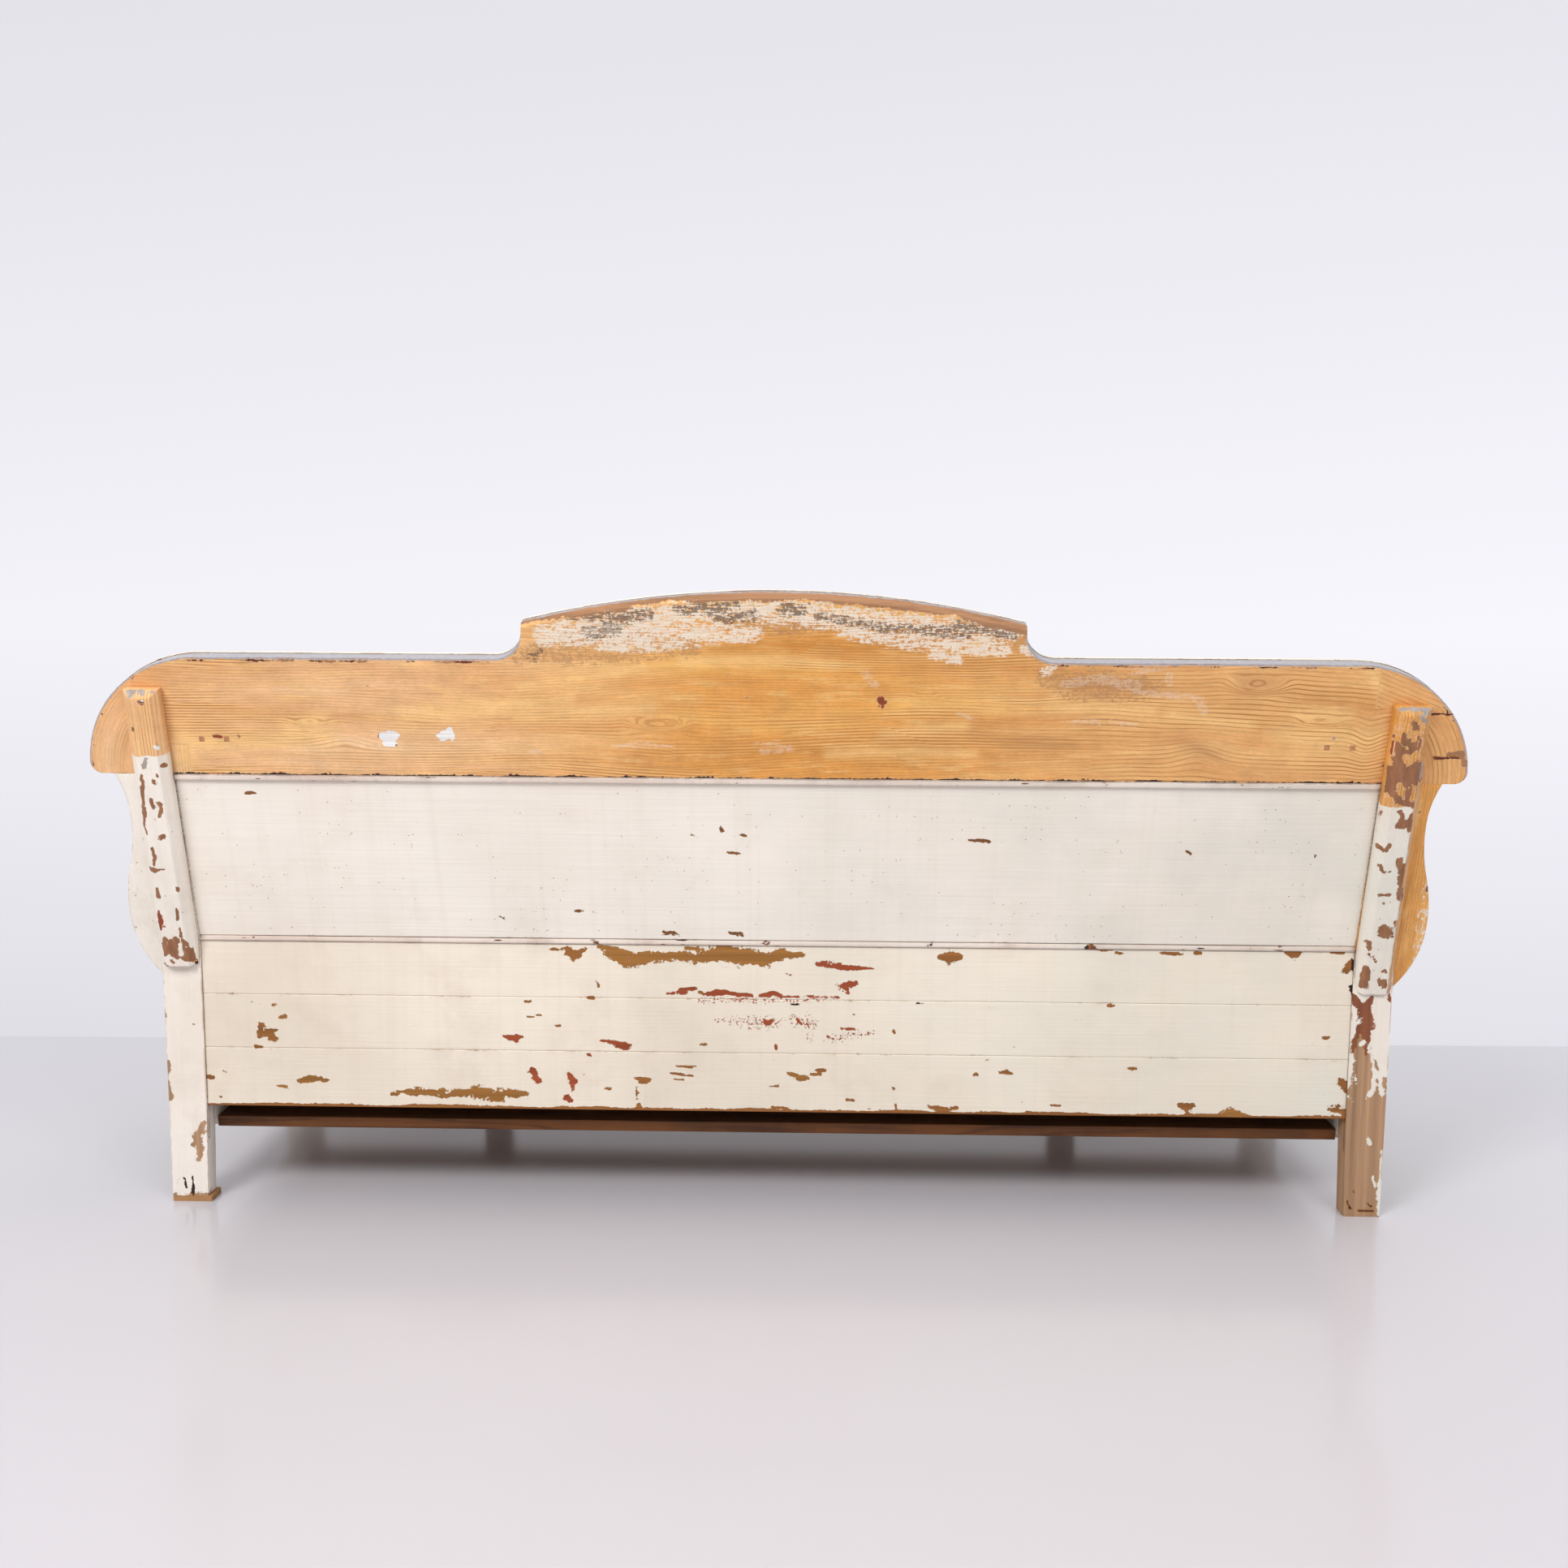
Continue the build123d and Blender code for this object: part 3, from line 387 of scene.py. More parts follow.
def makeOldPaint(name, look):
    # oil paint brushed on pine: satin, with brush ridges, dirt and flakes down to the ochre, the red and the wood
    material, tree, shader = newMaterial(name)
    place = addNode(tree, "TexCoord").outputs["Object"]
    cloud = noise(tree, place, scale=2.6, detail=4.0, roughness=0.55)
    stain = noise(tree, place, scale=11.0, detail=6.0, roughness=0.65)
    brushed = stretch(tree, place, brushRun[look["run"]])
    brush = noise(tree, brushed, scale=1.0, detail=3.0)
    drip = noise(tree, place, dripRun[look["run"]], detail=2.0)
    grain = noise(tree, brushed, scale=0.35, detail=5.0, roughness=0.7)

    tone = remap(tree, cloud, 0.36, 0.66)
    paint = blend(tree, tone, look["light"], look["dark"])
    soil = remap(tree, stain, 0.52, 0.80, 0.0, look["soil"])
    paint = blend(tree, soil, paint, look["stain"])
    faint = remap(tree, drip, 0.52, 0.76, 0.0, 0.10)
    paint = blend(tree, faint, paint, look["stain"])
    # the cream has gone grey and greenish in clouds; with painted shade this greyer, darker tone grows towards the -X
    # end of the bench
    split = splitVector(tree, place)
    shadedEnd = remap(tree, split[0], 0.55, -0.95, 0.10, 0.62)
    greyAndShadeMask = noise(tree, place, scale=4.3, detail=5.0, roughness=0.6)
    greyAndShadeMask = remap(tree, greyAndShadeMask, 0.38, 0.66, 0.15, 1.35)
    greyAndShadeMask = times(tree, greyAndShadeMask, shadedEnd, clamp=True)
    paint = blend(tree, greyAndShadeMask, paint, look["greyedAndShaded"])
    # fly specks and pin holes in patches
    specked = addNode(tree, "TexVoronoi", None, {"Vector": place, "Scale": 210.0, "Randomness": 1.0})
    where = remap(tree, stain, 0.50, 0.64, 0.012, 0.17)
    drawn = splitColour(tree, specked.outputs["Color"])[1]
    drawn = maths(tree, "LESS_THAN", drawn, where)
    dot = remap(tree, specked.outputs["Distance"], 0.17, 0.26, 0.75, 0.0)
    dot = times(tree, dot, drawn)
    paint = blend(tree, dot, paint, look["specked"])
    # brown dirt and painted shade in the corners where boards, beads and stays meet: ambient occlusion darkens the
    # paint there
    cornerDirtAndShade = addNode(tree, "AmbientOcclusion", {"samples": 4, "only_local": False},
                     {"Distance": look["cornerReach"]}).outputs["AO"]
    cornerDirtAndShade = remap(tree, cornerDirtAndShade, 0.42, look["cornerTo"], look["cornerDirtAndShadeStrength"], 0.0)
    broken = remap(tree, brush, 0.34, 0.60, 0.25, 0.95)
    cornerDirtAndShade = times(tree, cornerDirtAndShade, broken)
    paint = blend(tree, cornerDirtAndShade, paint, look["cornerDirtAndShadeColour"])
    ridge = remap(tree, brush, 0.35, 0.75, 0.0, 0.10)
    paint = blend(tree, ridge, paint, look["stain"])

    # graining instead of cream where the mask says so
    teeth = None
    if look["combed"]:
        combed, teeth = combColour(tree, combLook)
        mask = readField(tree, "combed")
        ragged = remap(tree, stain, 0, 1, -0.5, 0.5)
        mask = maths(tree, "ADD", mask, ragged)
        mask = remap(tree, mask, 0.47, 0.53)
        paint = blend(tree, mask, paint, combed)
        for attribute, (reach, colours, aside, cover) in films.items():
            left = readField(tree, attribute)
            streak = noise(tree, place, look["dragRun"], detail=6.0, roughness=0.75, shift=(aside, aside, aside))
            aslant = stretch(tree, place, (1, 1, 1), shift=(aside, 0, 0))
            patch = noise(tree, aslant, scale=185.0, detail=6.0, roughness=0.75)
            rough = between(tree, 0.5, streak, patch)
            rough = remap(tree, rough, 0.36, 0.64, 1 - reach, 1 + reach)
            left = times(tree, left, rough)
            left = remap(tree, left, 0.47, 0.60, 0.0, cover)
            shift = remap(tree, patch, 0.35, 0.65)
            film = blend(tree, shift, *colours)
            paint = blend(tree, left, paint, film)

    # flakes: planned ones come with the mesh, small ones are scattered, and arrises are rubbed through
    planned = readField(tree, "flake")
    layer = readField(tree, "layer")
    nibble = noise(tree, place, scale=170.0, detail=5.0, roughness=0.65)
    bite = noise(tree, place, biteRun[look["run"]], detail=2.0)
    nibble = maths(tree, "ADD", nibble, bite)
    nibble = remap(tree, nibble, 0.5, 1.5, -0.60, 0.60)
    spread = stretch(tree, place, look["speckRun"])
    cells = addNode(tree, "TexVoronoi", None, {"Vector": spread, "Scale": 1.0, "Randomness": 1.0})
    lot = splitColour(tree, cells.outputs["Color"])[0]
    chosen = maths(tree, "GREATER_THAN", lot, 1 - look["specks"])
    speck = remap(tree, cells.outputs["Distance"], 0.0, 0.36, 0.95, 0.0)
    speck = times(tree, speck, chosen)
    rounded = addNode(tree, "Bevel", {"samples": 4}, {"Radius": look["rubReach"]}).outputs[0]
    straight = addNode(tree, "NewGeometry").outputs["Normal"]
    arris = addNode(tree, "VectorMath", {"operation": "DOT_PRODUCT"}, {0: rounded, 1: straight}).outputs["Value"]
    arris = remap(tree, arris, 1.0, 0.80, 0.0, look["rub"])
    rubbed = remap(tree, stain, 0.36, 0.66, 0.1, 1.9)
    arris = times(tree, arris, rubbed)
    field = maths(tree, "MAXIMUM", planned, speck)
    field = maths(tree, "MAXIMUM", field, arris)
    field = maths(tree, "ADD", field, nibble)
    spatter = readField(tree, "spatter")
    drops = noise(tree, place, scale=330.0, detail=3.0, roughness=0.6)
    drops = remap(tree, drops, 0.46, 0.66, 0.0, 1.1)
    spatter = times(tree, spatter, drops)
    field = maths(tree, "MAXIMUM", field, spatter)
    bare = remap(tree, field, 0.485, 0.515)
    # painted shade and dirt: a darker ring round every flake, at the torn edge of the paint
    rim = remap(tree, field, 0.36, 0.49, 0.0, 0.30)
    paint = blend(tree, rim, paint, look["stain"])

    # each coat starts half a step below its own code
    under = shades(tree, layer, [
        (0.0, look["wood"]), (0.1, look["ochre"]), (0.3, look["red"]), (0.5, flakeShades["dark"]),
        (0.7, flakeShades["grey"]), (0.9, flakeShades["white"])], "CONSTANT")
    worn = remap(tree, grain, 0.3, 0.7, 0.68, 1.22)
    below = scaled(tree, under, worn)
    colour = blend(tree, bare, paint, below)

    shine = remap(tree, bare, 0, 1, look["gloss"], 0.78)
    height = maths(tree, "MULTIPLY_ADD", bare, -1.0, brush)
    height = maths(tree, "MULTIPLY_ADD", grain, 0.5, height)
    if teeth is not None:
        height = maths(tree, "MULTIPLY_ADD", teeth, -0.35, height)
    feed(tree, shader, {"Base Color": colour, "Roughness": shine, "Normal": relief(tree, 0.55, 0.0006, height)})
    return material


creamPaint = {"light": "#f3e9dc", "dark": "#e9dccd", "stain": "#cbb8a2", "greyedAndShaded": "#e2e0d3",
              "specked": "#8a6f5c", "cornerDirtAndShadeColour": "#6a4b3c", "wood": "#86572e", "ochre": "#a67231", "red": "#93462a",
              "soil": 0.35, "gloss": 0.46, "rub": 0.45, "rubReach": 0.004, "combed": False,
              "specks": 0.030, "speckRun": (26, 60, 60), "cornerReach": 0.006, "cornerTo": 0.72, "cornerDirtAndShadeStrength": 1.0}
speckRuns = {"X": (26, 60, 60), "Y": (60, 26, 60), "Z": (60, 60, 26)}
creamFor = {run: makeOldPaint("cream oil paint " + run, dict(creamPaint, run=run, speckRun=speckRuns[run]))
            for run in "XYZ"}
panelCream = makeOldPaint("cream oil paint on the leaning panel", dict(
    creamPaint, run="X", light="#fdf5ea", dark="#f4e9dc", stain="#d8c6b0", soil=0.22, specks=0.010))
boardCream = makeOldPaint("cream oil paint on the lower boards", dict(
    creamPaint, run="X", light="#f4e8d7", dark="#e6d8c5", wood="#95602f", red="#9e4b2b", ochre="#9d6b33",
    soil=0.36, cornerDirtAndShadeStrength=0.12))
# the beads catch dirt and painted shade: pinkish brown lines in their corners and many small chips
beadPaint = makeOldPaint("cream oil paint on the beads", dict(
    creamPaint, run="X", light="#f0e2d6", dark="#dcc6b8", stain="#a88676", wood="#7a4c38", soil=0.75, rub=0.85,
    rubReach=0.003, specks=0.16, speckRun=(34, 200, 200), cornerReach=0.012, cornerTo=0.92))
stayPaint = makeOldPaint("cream and combed paint on the stays", dict(
    creamPaint, run="Z", combed=True, light="#fbf3e8", dark="#f3e8db", wood="#9b6b4b", ochre="#dfae80", rub=0.55,
    specks=0.05, speckRun=(60, 60, 34), cornerTo=0.82, dragRun=(200, 200, 30)))
crestPaint = makeOldPaint("combed ochre graining", dict(
    creamPaint, run="X", combed=True, light="#e9b27e", dark="#d69a5c", wood="#ad7f5c", gloss=0.42, rub=0.42,
    specks=0.006, dragRun=(45, 45, 430)))


def makePine(name, look):
    # planed Baltic pine gone brown: resinous late wood lines 3 to 6 mm apart, dull and dry
    material, tree, shader = newMaterial(name)
    place = addNode(tree, "TexCoord").outputs["Object"]
    longRun = {"X": (1.6, 26, 26), "Y": (26, 1.6, 26), "Z": (26, 26, 1.6)}[look["run"]]
    ring = noise(tree, place, longRun, detail=2.0, roughness=0.4)
    ring = times(tree, ring, 9.0)
    ring = maths(tree, "PINGPONG", ring, 0.5)
    hairRun = stretch(tree, place, brushRun[look["run"]])
    hair = noise(tree, hairRun, scale=1.4, detail=4.0, roughness=0.65)
    cloud = noise(tree, place, scale=7.0, detail=5.0, roughness=0.6)
    late = remap(tree, ring, 0.28, 0.5, 0.0, 0.75)
    colour = blend(tree, late, look["early"], look["late"])
    fleck = remap(tree, hair, 0.45, 0.75, 0.0, 0.55)
    colour = blend(tree, fleck, colour, look["late"])
    dirt = remap(tree, cloud, 0.42, 0.72, 0.0, look["dirt"])
    colour = blend(tree, dirt, colour, look["soiled"])
    height = maths(tree, "MULTIPLY_ADD", ring, 1.2, hair)
    feed(tree, shader, {"Base Color": colour, "Roughness": look["dull"], "Normal": relief(tree, 0.5, 0.0006, height)})
    return material


cleanPine = {"early": "#b98a5c", "late": "#8c5d36", "soiled": "#6d4a30", "dirt": 0.45, "dull": 0.68}
brownPine = {"early": "#784821", "late": "#4a2a12", "soiled": "#2f1c11", "dirt": 0.6, "dull": 0.72}
pineFor = {run: makePine("old pine " + run, dict(cleanPine, run=run)) for run in "XYZ"}
smokedPine = makePine("smoke brown pine X", dict(brownPine, run="X"))


def makeIron(name, look):
    # hand forged iron: scale grey with hammer dents about 6 mm wide and rust in the hollows
    material, tree, shader = newMaterial(name)
    place = addNode(tree, "TexCoord").outputs["Object"]
    dents = noise(tree, place, scale=160.0, detail=3.0)
    rust = noise(tree, place, scale=60.0, detail=6.0, roughness=0.7)
    rusty = remap(tree, rust, 0.47, 0.60)
    colour = blend(tree, rusty, look["scale"], look["rust"])
    metal = remap(tree, rusty, 0, 1, 0.9, 0.1)
    shine = remap(tree, rusty, 0, 1, 0.48, 0.85)
    feed(tree, shader, {"Base Color": colour, "Metallic": metal, "Roughness": shine,
                        "Normal": relief(tree, 0.6, 0.0008, dents)})
    return material


forgedIron = makeIron("forged iron", {"scale": "#4a4542", "rust": "#6b4028"})
# the crest's nails rust through the graining that was painted over them
nailLook, tree, shader = newMaterial("rusted nail heads under ochre")
place = addNode(tree, "TexCoord").outputs["Object"]
rust = noise(tree, place, scale=420.0, detail=5.0, roughness=0.7)
rust = remap(tree, rust, 0.40, 0.60)
colour = blend(tree, rust, "#d39a63", "#a9735a")
feed(tree, shader, {"Base Color": colour, "Roughness": 0.7, "Normal": relief(tree, 0.6, 0.0005, rust)})
print("finishes ready")


# painted boards that carry planned wear

def alongLean(places):
    # distance up the leaning back from the break, and depth forward of its rear plane
    across = places[:, 1] - benchLines["backY"]
    rise = places[:, 2] - benchLines["breakZ"]
    lean = benchLines["lean"]
    return across * math.sin(lean) + rise * math.cos(lean), -across * math.cos(lean) + rise * math.sin(lean)


# strokes are sorted by the layer they show; each is a line of points in millimetres: along, up, half width there
strokeFade = 0.44       # a field of 1 on the line falls to about a half at the edge and to 0 at 2.3 half widths


def strokeField(u, v, strokes, kinds=None):
    # how near each place is to a stroke, and the layer that the nearest one shows
    best = np.zeros(len(u))
    shows = np.zeros(len(u))
    for kind, lines in strokes.items():
        if kinds and kind not in kinds:
            continue
        for line in lines:
            line = [[number / 1000 for number in point] for point in line]
            for (x0, v0, r0), (x1, v1, r1) in zip(line, line[1:] or line):
                span = max((x1 - x0) ** 2 + (v1 - v0) ** 2, 1e-12)
                t = np.clip(((u - x0) * (x1 - x0) + (v - v0) * (v1 - v0)) / span, 0, 1)
                far = np.hypot(u - x0 - t * (x1 - x0), v - v0 - t * (v1 - v0))
                here = np.clip(1 - strokeFade * far / (r0 + t * (r1 - r0)), 0, 1)
                better = here > best
                best[better] = here[better]
                shows[better] = layerCode.get(kind, 0.0)
    return best, shows


def filmField(u, v, lines):
    return strokeField(u, v, {"film": lines})[0]


def chip(flake, layer, bare, code):
    # the flake and layer fields with one more bare place, where it is the stronger one
    return np.maximum(flake, bare), np.where(bare > flake, code, layer)


def writeField(piece, name, values):
    field = piece.data.attributes.new(name, "FLOAT", "POINT")
    field.data.foreach_set("value", np.asarray(values, np.float32))


def writeWear(piece, flake, layer):
    writeField(piece, "flake", flake)
    writeField(piece, "layer", layer)


def writeRun(piece, name, u, v):
    field = piece.data.attributes.new(name, "FLOAT_VECTOR", "POINT")
    field.data.foreach_set("vector", np.stack([u, v, np.zeros(len(u))], 1).astype(np.float32).ravel())


def readPlaces(piece):
    places = np.zeros(len(piece.data.vertices) * 3)
    piece.data.vertices.foreach_get("co", places)
    return places.reshape(-1, 3)


def cutGrid(piece, middle, normal, step, reach):
    # parallel saw cuts through the whole board, so that the wear has corners to hang on
    normal = Vector(normal).normalized()
    count = int(2 * reach / step)
    for i in range(count + 1):
        bpy.ops.mesh.select_all(action="SELECT")
        bpy.ops.mesh.bisect(plane_co=Vector(middle) + normal * (-reach + i * step), plane_no=normal)


# an arris is rounded where faces meet at more than this angle, and corners this close are one
arrisAngle = math.radians(40)
arrisSteps = 2
weldReach = 0.00001


def dressBoard(node, name, look):
    # the same board again with worn arrises, a fine grid and a slightly uneven hand-planed face
    low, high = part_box(node)
    pickOnly(nodes[node])
    bpy.ops.object.duplicate(linked=False)
    piece = bpy.context.view_layer.objects.active
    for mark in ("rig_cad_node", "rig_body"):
        del piece[mark]
    piece.parent = None
    piece.name = name
    piece.data.name = name
    bpy.ops.object.mode_set(mode="EDIT")
    bpy.ops.mesh.select_all(action="SELECT")
    bpy.ops.mesh.remove_doubles(threshold=weldReach)
    bpy.ops.mesh.customdata_custom_splitnormals_clear()
    bpy.ops.mesh.dissolve_limited(angle_limit=0.02)
    bpy.ops.object.mode_set(mode="OBJECT")
    applyModifier(piece, "BEVEL", {"width": look["arris"], "segments": arrisSteps, "limit_method": "ANGLE",
                                   "angle_limit": arrisAngle})
    bpy.ops.object.mode_set(mode="EDIT")
    middle = (low + high) / 2
    for normal, step in look["grid"]:
        reach = abs(Vector(normal).normalized().dot(high - low)) / 2
        reach = max(reach, abs(Vector(normal).normalized().x) * (high - low).x / 2) + step / 2
        cutGrid(piece, middle, normal, step, reach)
    bpy.ops.object.mode_set(mode="OBJECT")
    bpy.ops.object.shade_smooth_by_angle(angle=math.radians(35))
    places = readPlaces(piece)
    # hollows of a fraction of a millimetre, only ever into the board
    if look["waves"]:
        x, y, z = places.T
        dip = np.sin(x * 41 + 3 * np.sin(z * 17)) + np.sin(x * 13.7 + z * 61) + np.sin(z * 139 + 2 * np.sin(x * 9))
        rear = np.zeros(len(places) * 3)
        piece.data.vertices.foreach_get("normal", rear)
        outward = np.clip(rear.reshape(-1, 3) @ np.array(look["rear"]), 0, 1) ** 4
        places -= np.outer(outward * (0.5 + dip / 6) * look["waves"], np.array(look["rear"]))
        piece.data.vertices.foreach_set("co", places.ravel())
        piece.data.update()
    setMaterial(piece, look["material"])
    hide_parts(node)
    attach(piece, "frame")
    return piece, places


leanNormal = (0, math.cos(benchLines["lean"]), -math.sin(benchLines["lean"]))
leanUp = (0, math.sin(benchLines["lean"]), math.cos(benchLines["lean"]))

lowerBoards = {
    "material": boardCream, "slot": "cream_paint", "arris": 0.0005, "waves": 0.0004, "rear": (0, 1, 0),
    "lowEdge": 0.162,
    "grid": [((1, 0, 0), 0.005), ((0, 0, 1), 0.0032)],
    "strokes": {
        "ochre": [
            [(267, 426, 6.6), (232, 410, 9.2), (199, 416, 7.9), (160, 419, 6.6), (121, 417, 7.9), (88, 422, 10.5),
             (50, 420, 11.8), (17, 415, 9.2), (-9, 422, 7.9), (-48, 424, 3.9)],
            [(277, 430, 3.9), (249, 429, 3.9), (228, 422, 2.6)], [(141, 432, 2.6), (118, 430, 3.9)],
            [(85, 433, 3.9), (62, 428, 6.6)], [(771, 205, 2.7), (753, 208, 4.6), (737, 210, 4)],
            [(732, 205, 2.4), (724, 207, 2.7)], [(805, 196, 1.8), (792, 195, 2.4)],
            [(595, 189, 4), (577, 189, 7.4), (537, 187, 6.1), (532, 183, 2.7), (511, 187, 6.7), (484, 191, 8.1),
             (458, 185, 8.7), (431, 187, 6), (398, 188, 2.7)], [(613, 189, 1.6), (601, 189, 1.9)],
            [(-26, 228, 2.7), (-43, 221, 4.5), (-57, 219, 2.9)], [(-62, 226, 2.1), (-80, 226, 1.7)],
            [(-715, 163, 3.3), (-740, 169, 6.6), (-766, 165, 4)]],
        "wood": [
            [(332, 430, 3.9), (320, 420, 7.9), (301, 429, 2.6)], [(358, 429, 2), (342, 428, 2)],
            [(-266, 421, 3.3), (-282, 420, 9.2), (-296, 422, 4.6)],
            [(-816, 436, 3.9), (-827, 431, 6.5), (-834, 435, 3.9)],
            [(-517, 438, 2.6), (-528, 438, 4.2), (-540, 438, 2)], [(-616, 432, 1.8), (-652, 431, 2.3)],
            [(-671, 433, 2.6), (-681, 433, 2.1)], [(-545, 432, 2), (-557, 430, 2)],
            [(-885, 437, 2.6), (-905, 435, 2.6)], [(284, 376, 1.7), (279, 366, 2)],
            [(298, 349, 1.7), (290, 349, 2.9)], [(403, 340, 1.9), (391, 342, 2.4)],
            [(396, 315, 1.6), (373, 320, 1.3)], [(-194, 299, 3.4)],
            [(829, 298, 4), (832, 284, 5.4), (819, 286, 7.4), (811, 275, 4.7)], [(804, 291, 2.9), (819, 286, 4)],
            [(799, 310, 2.1), (788, 312, 2.9)], [(840, 261, 2.7), (830, 261, 1.9)],
            [(219, 201, 2.7), (219, 184, 2.1), (217, 165, 2.7), (211, 160, 4.7)], [(224, 217, 1.9), (200, 213, 3.2)],
            [(216, 210, 2.1), (203, 207, 1.6)], [(157, 237, 1.7), (134, 235, 2.1), (124, 237, 1.3)],
            [(167, 226, 1.7), (147, 223, 2.1), (130, 221, 1.7)], [(161, 216, 1.6), (145, 215, 1.6)],
            [(927, 226, 2.7)], [(925, 211, 3.2), (912, 210, 4)], [(926, 186, 2.2)], [(893, 220, 2.2)],
            [(900, 176, 2.4)], [(7, 204, 1.6), (-8, 206, 2.1)], [(0, 171, 2), (-26, 168, 1.7)],
            [(-119, 184, 1.6), (-131, 184, 1.6)], [(-196, 204, 2)],
            [(-197, 185, 1.9), (-200, 170, 2.4), (-201, 161, 6)],
            [(-252, 174, 2.4), (-266, 171, 3.5), (-283, 169, 2.4)], [(-290, 173, 2.4), (-302, 174, 2.4)],
            [(-327, 228, 3.2)], [(-364, 233, 2.4), (-375, 232, 4), (-384, 231, 1.9)], [(-362, 164, 2.7)],
            [(-448, 179, 1.7), (-464, 179, 1.6)], [(-410, 168, 1.7), (-433, 163, 3.2), (-445, 164, 1.7)],
            [(-656, 182, 3.2), (-667, 180, 5.3), (-677, 182, 3.2)],
            [(-898, 177, 5.3), (-911, 178, 5.3), (-921, 169, 6.6)], [(-914, 223, 5.3), (-924, 208, 5.3)],
            [(-909, 406, 3.9), (-914, 418, 3.9)], [(-221, 163, 2), (-230, 164, 1.6)],
            [(449, 162, 1.7), (422, 160, 2)], [(518, 167, 1.9), (502, 166, 1.9)],
            [(-194, 297, 2.4), (-196, 296, 1.9)], [(-127, 326, 1.7), (-132, 327, 1.3)],
            [(-912, 406, 3.4), (-916, 417, 2.6)]],
        "red": [
            [(-70, 408, 3.3), (-93, 406, 5.3), (-119, 403, 3.9), (-162, 402, 1.6)],
            [(-17, 392, 1.6), (-33, 390, 1.6)], [(171, 357, 1.7), (141, 360, 3.2)],
            [(150, 364, 2.4), (126, 366, 2.1)], [(113, 355, 2.4), (88, 360, 3.7), (35, 356, 2.4)],
            [(23, 355, 2.1), (-3, 361, 4.2), (-13, 354, 2.6)], [(-20, 354, 1.7), (-43, 354, 2)],
            [(-50, 355, 1.7), (-106, 354, 1.7)], [(-108, 371, 2.6), (-121, 377, 5.3), (-133, 378, 2.6)],
            [(-115, 370, 2), (-120, 362, 2)], [(439, 285, 1.7), (418, 281, 5.3), (407, 284, 3.3)],
            [(418, 281, 5.3), (414, 274, 2.4)], [(279, 278, 1.7), (256, 275, 4), (238, 269, 5.3)],
            [(300, 255, 2), (295, 253, 2)], [(390, 230, 3.7), (386, 219, 5.4), (379, 209, 4.6)],
            [(331, 221, 2.7), (324, 210, 4.6), (324, 195, 2.9)], [(335, 181, 4), (327, 177, 4.6)], [(307, 221, 2.1)],
            [(15, 315, 2.1), (9, 310, 4.2), (2, 315, 1.9)], [(-40, 316, 2.4), (-43, 310, 2.4)],
            [(-109, 302, 1.6), (-131, 302, 1.6)], [(-3, 275, 1.6), (-5, 267, 2.3)]],
        "spatter": [
            [(92, 313, 4), (62, 313, 7.9), (36, 311, 11.9), (6, 311, 11.9), (-6, 309, 6.6)],
            [(-23, 317, 9.3), (-49, 314, 13.2), (-67, 309, 7.9)], [(-54, 304, 6.6), (-59, 285, 8)],
            [(-88, 285, 8), (-125, 292, 7.9), (-164, 296, 4)],
            [(116, 347, 5.3), (69, 348, 5.3), (23, 347, 5.3), (-35, 348, 4.6), (-101, 352, 4)],
            [(-100, 374, 3.9), (-119, 363, 5.3)]],
        "dark": [
            [(-227, 346, 1.3), (-241, 346, 1.3)], [(-30, 342, 1.3), (-41, 342, 1.6)],
            [(-920, 424, 2.9), (-923, 408, 3.4)], [(-921, 380, 3.1), (-925, 367, 2.9)]]}}
for i, node in enumerate(("lower_back_board_1", "lower_back_board_2", "lower_back_board_3")):
    piece, places = dressBoard(node, "lowerBoard" + str(i + 1), lowerBoards)
    x, y, z = places.T
    depth = benchLines["backY"] - y
    flake, layer = strokeField(x, z, lowerBoards["strokes"], ("wood", "ochre", "red", "dark", "grey", "white"))
    spatter = strokeField(x, z, lowerBoards["strokes"], ("spatter",))[0]
    layer = np.where(spatter > flake, layerCode["spatter"], layer)
    rearSide = np.clip((0.010 - depth) / 0.002, 0, 1)
    if i == 0:      # the lowest arris is rubbed bare along its whole length
        ragged = 0.0048 + 0.0010 * np.sin(x * 37) * np.sin(x * 11 + 1)
        edge = np.clip(0.5 + (ragged - (z - lowerBoards["lowEdge"])) / 0.0022, 0, 1.15)
        layer = np.where((edge > flake) & (np.sin(x * 61 + 2 * np.sin(x * 17)) > -0.3), layerCode["wood"], layer)
        flake = np.maximum(flake, edge)
    writeWear(piece, flake * rearSide, layer)
    writeField(piece, "spatter", spatter * rearSide)

leaningPanel = {
    "material": panelCream, "slot": "cream_paint", "arris": 0.0010, "waves": 0.0004, "rear": leanNormal,
    "grid": [((1, 0, 0), 0.006), (leanUp, 0.005)],
    "strokes": {
        "wood": [
            [(434, 46, 2.2), (426, 39, 1.6)], [(179, 17, 2.2), (157, 18, 3)], [(71, 19, 2.2), (48, 16, 3)],
            [(127, 188, 2.1), (119, 186, 1.8)], [(82, 202, 2.4), (78, 195, 2.1)], [(49, 191, 2.4), (42, 187, 1.8)],
            [(71, 159, 1.7), (52, 158, 2)], [(-301, 185, 1.6), (-333, 183, 2)], [(-639, 168, 1.7), (-646, 166, 1.7)],
            [(-837, 162, 2.9)], [(-178, 207, 1.6), (-186, 207, 1.3)], [(421, 284, 3.1), (393, 283, 3.1)],
            [(299, 284, 2.6), (279, 282, 3.1)], [(-71, 281, 2.3), (-139, 282, 2.1)],
            [(12, 282, 1.8), (1, 282, 1.8)]]}}
piece, places = dressBoard("back_panel", "leaningPanel", leaningPanel)
up, depth = alongLean(places)
flake, layer = strokeField(places[:, 0], up, leaningPanel["strokes"])
rearSide = np.clip((0.008 - depth) / 0.002, 0, 1)
writeWear(piece, flake * rearSide, layer)

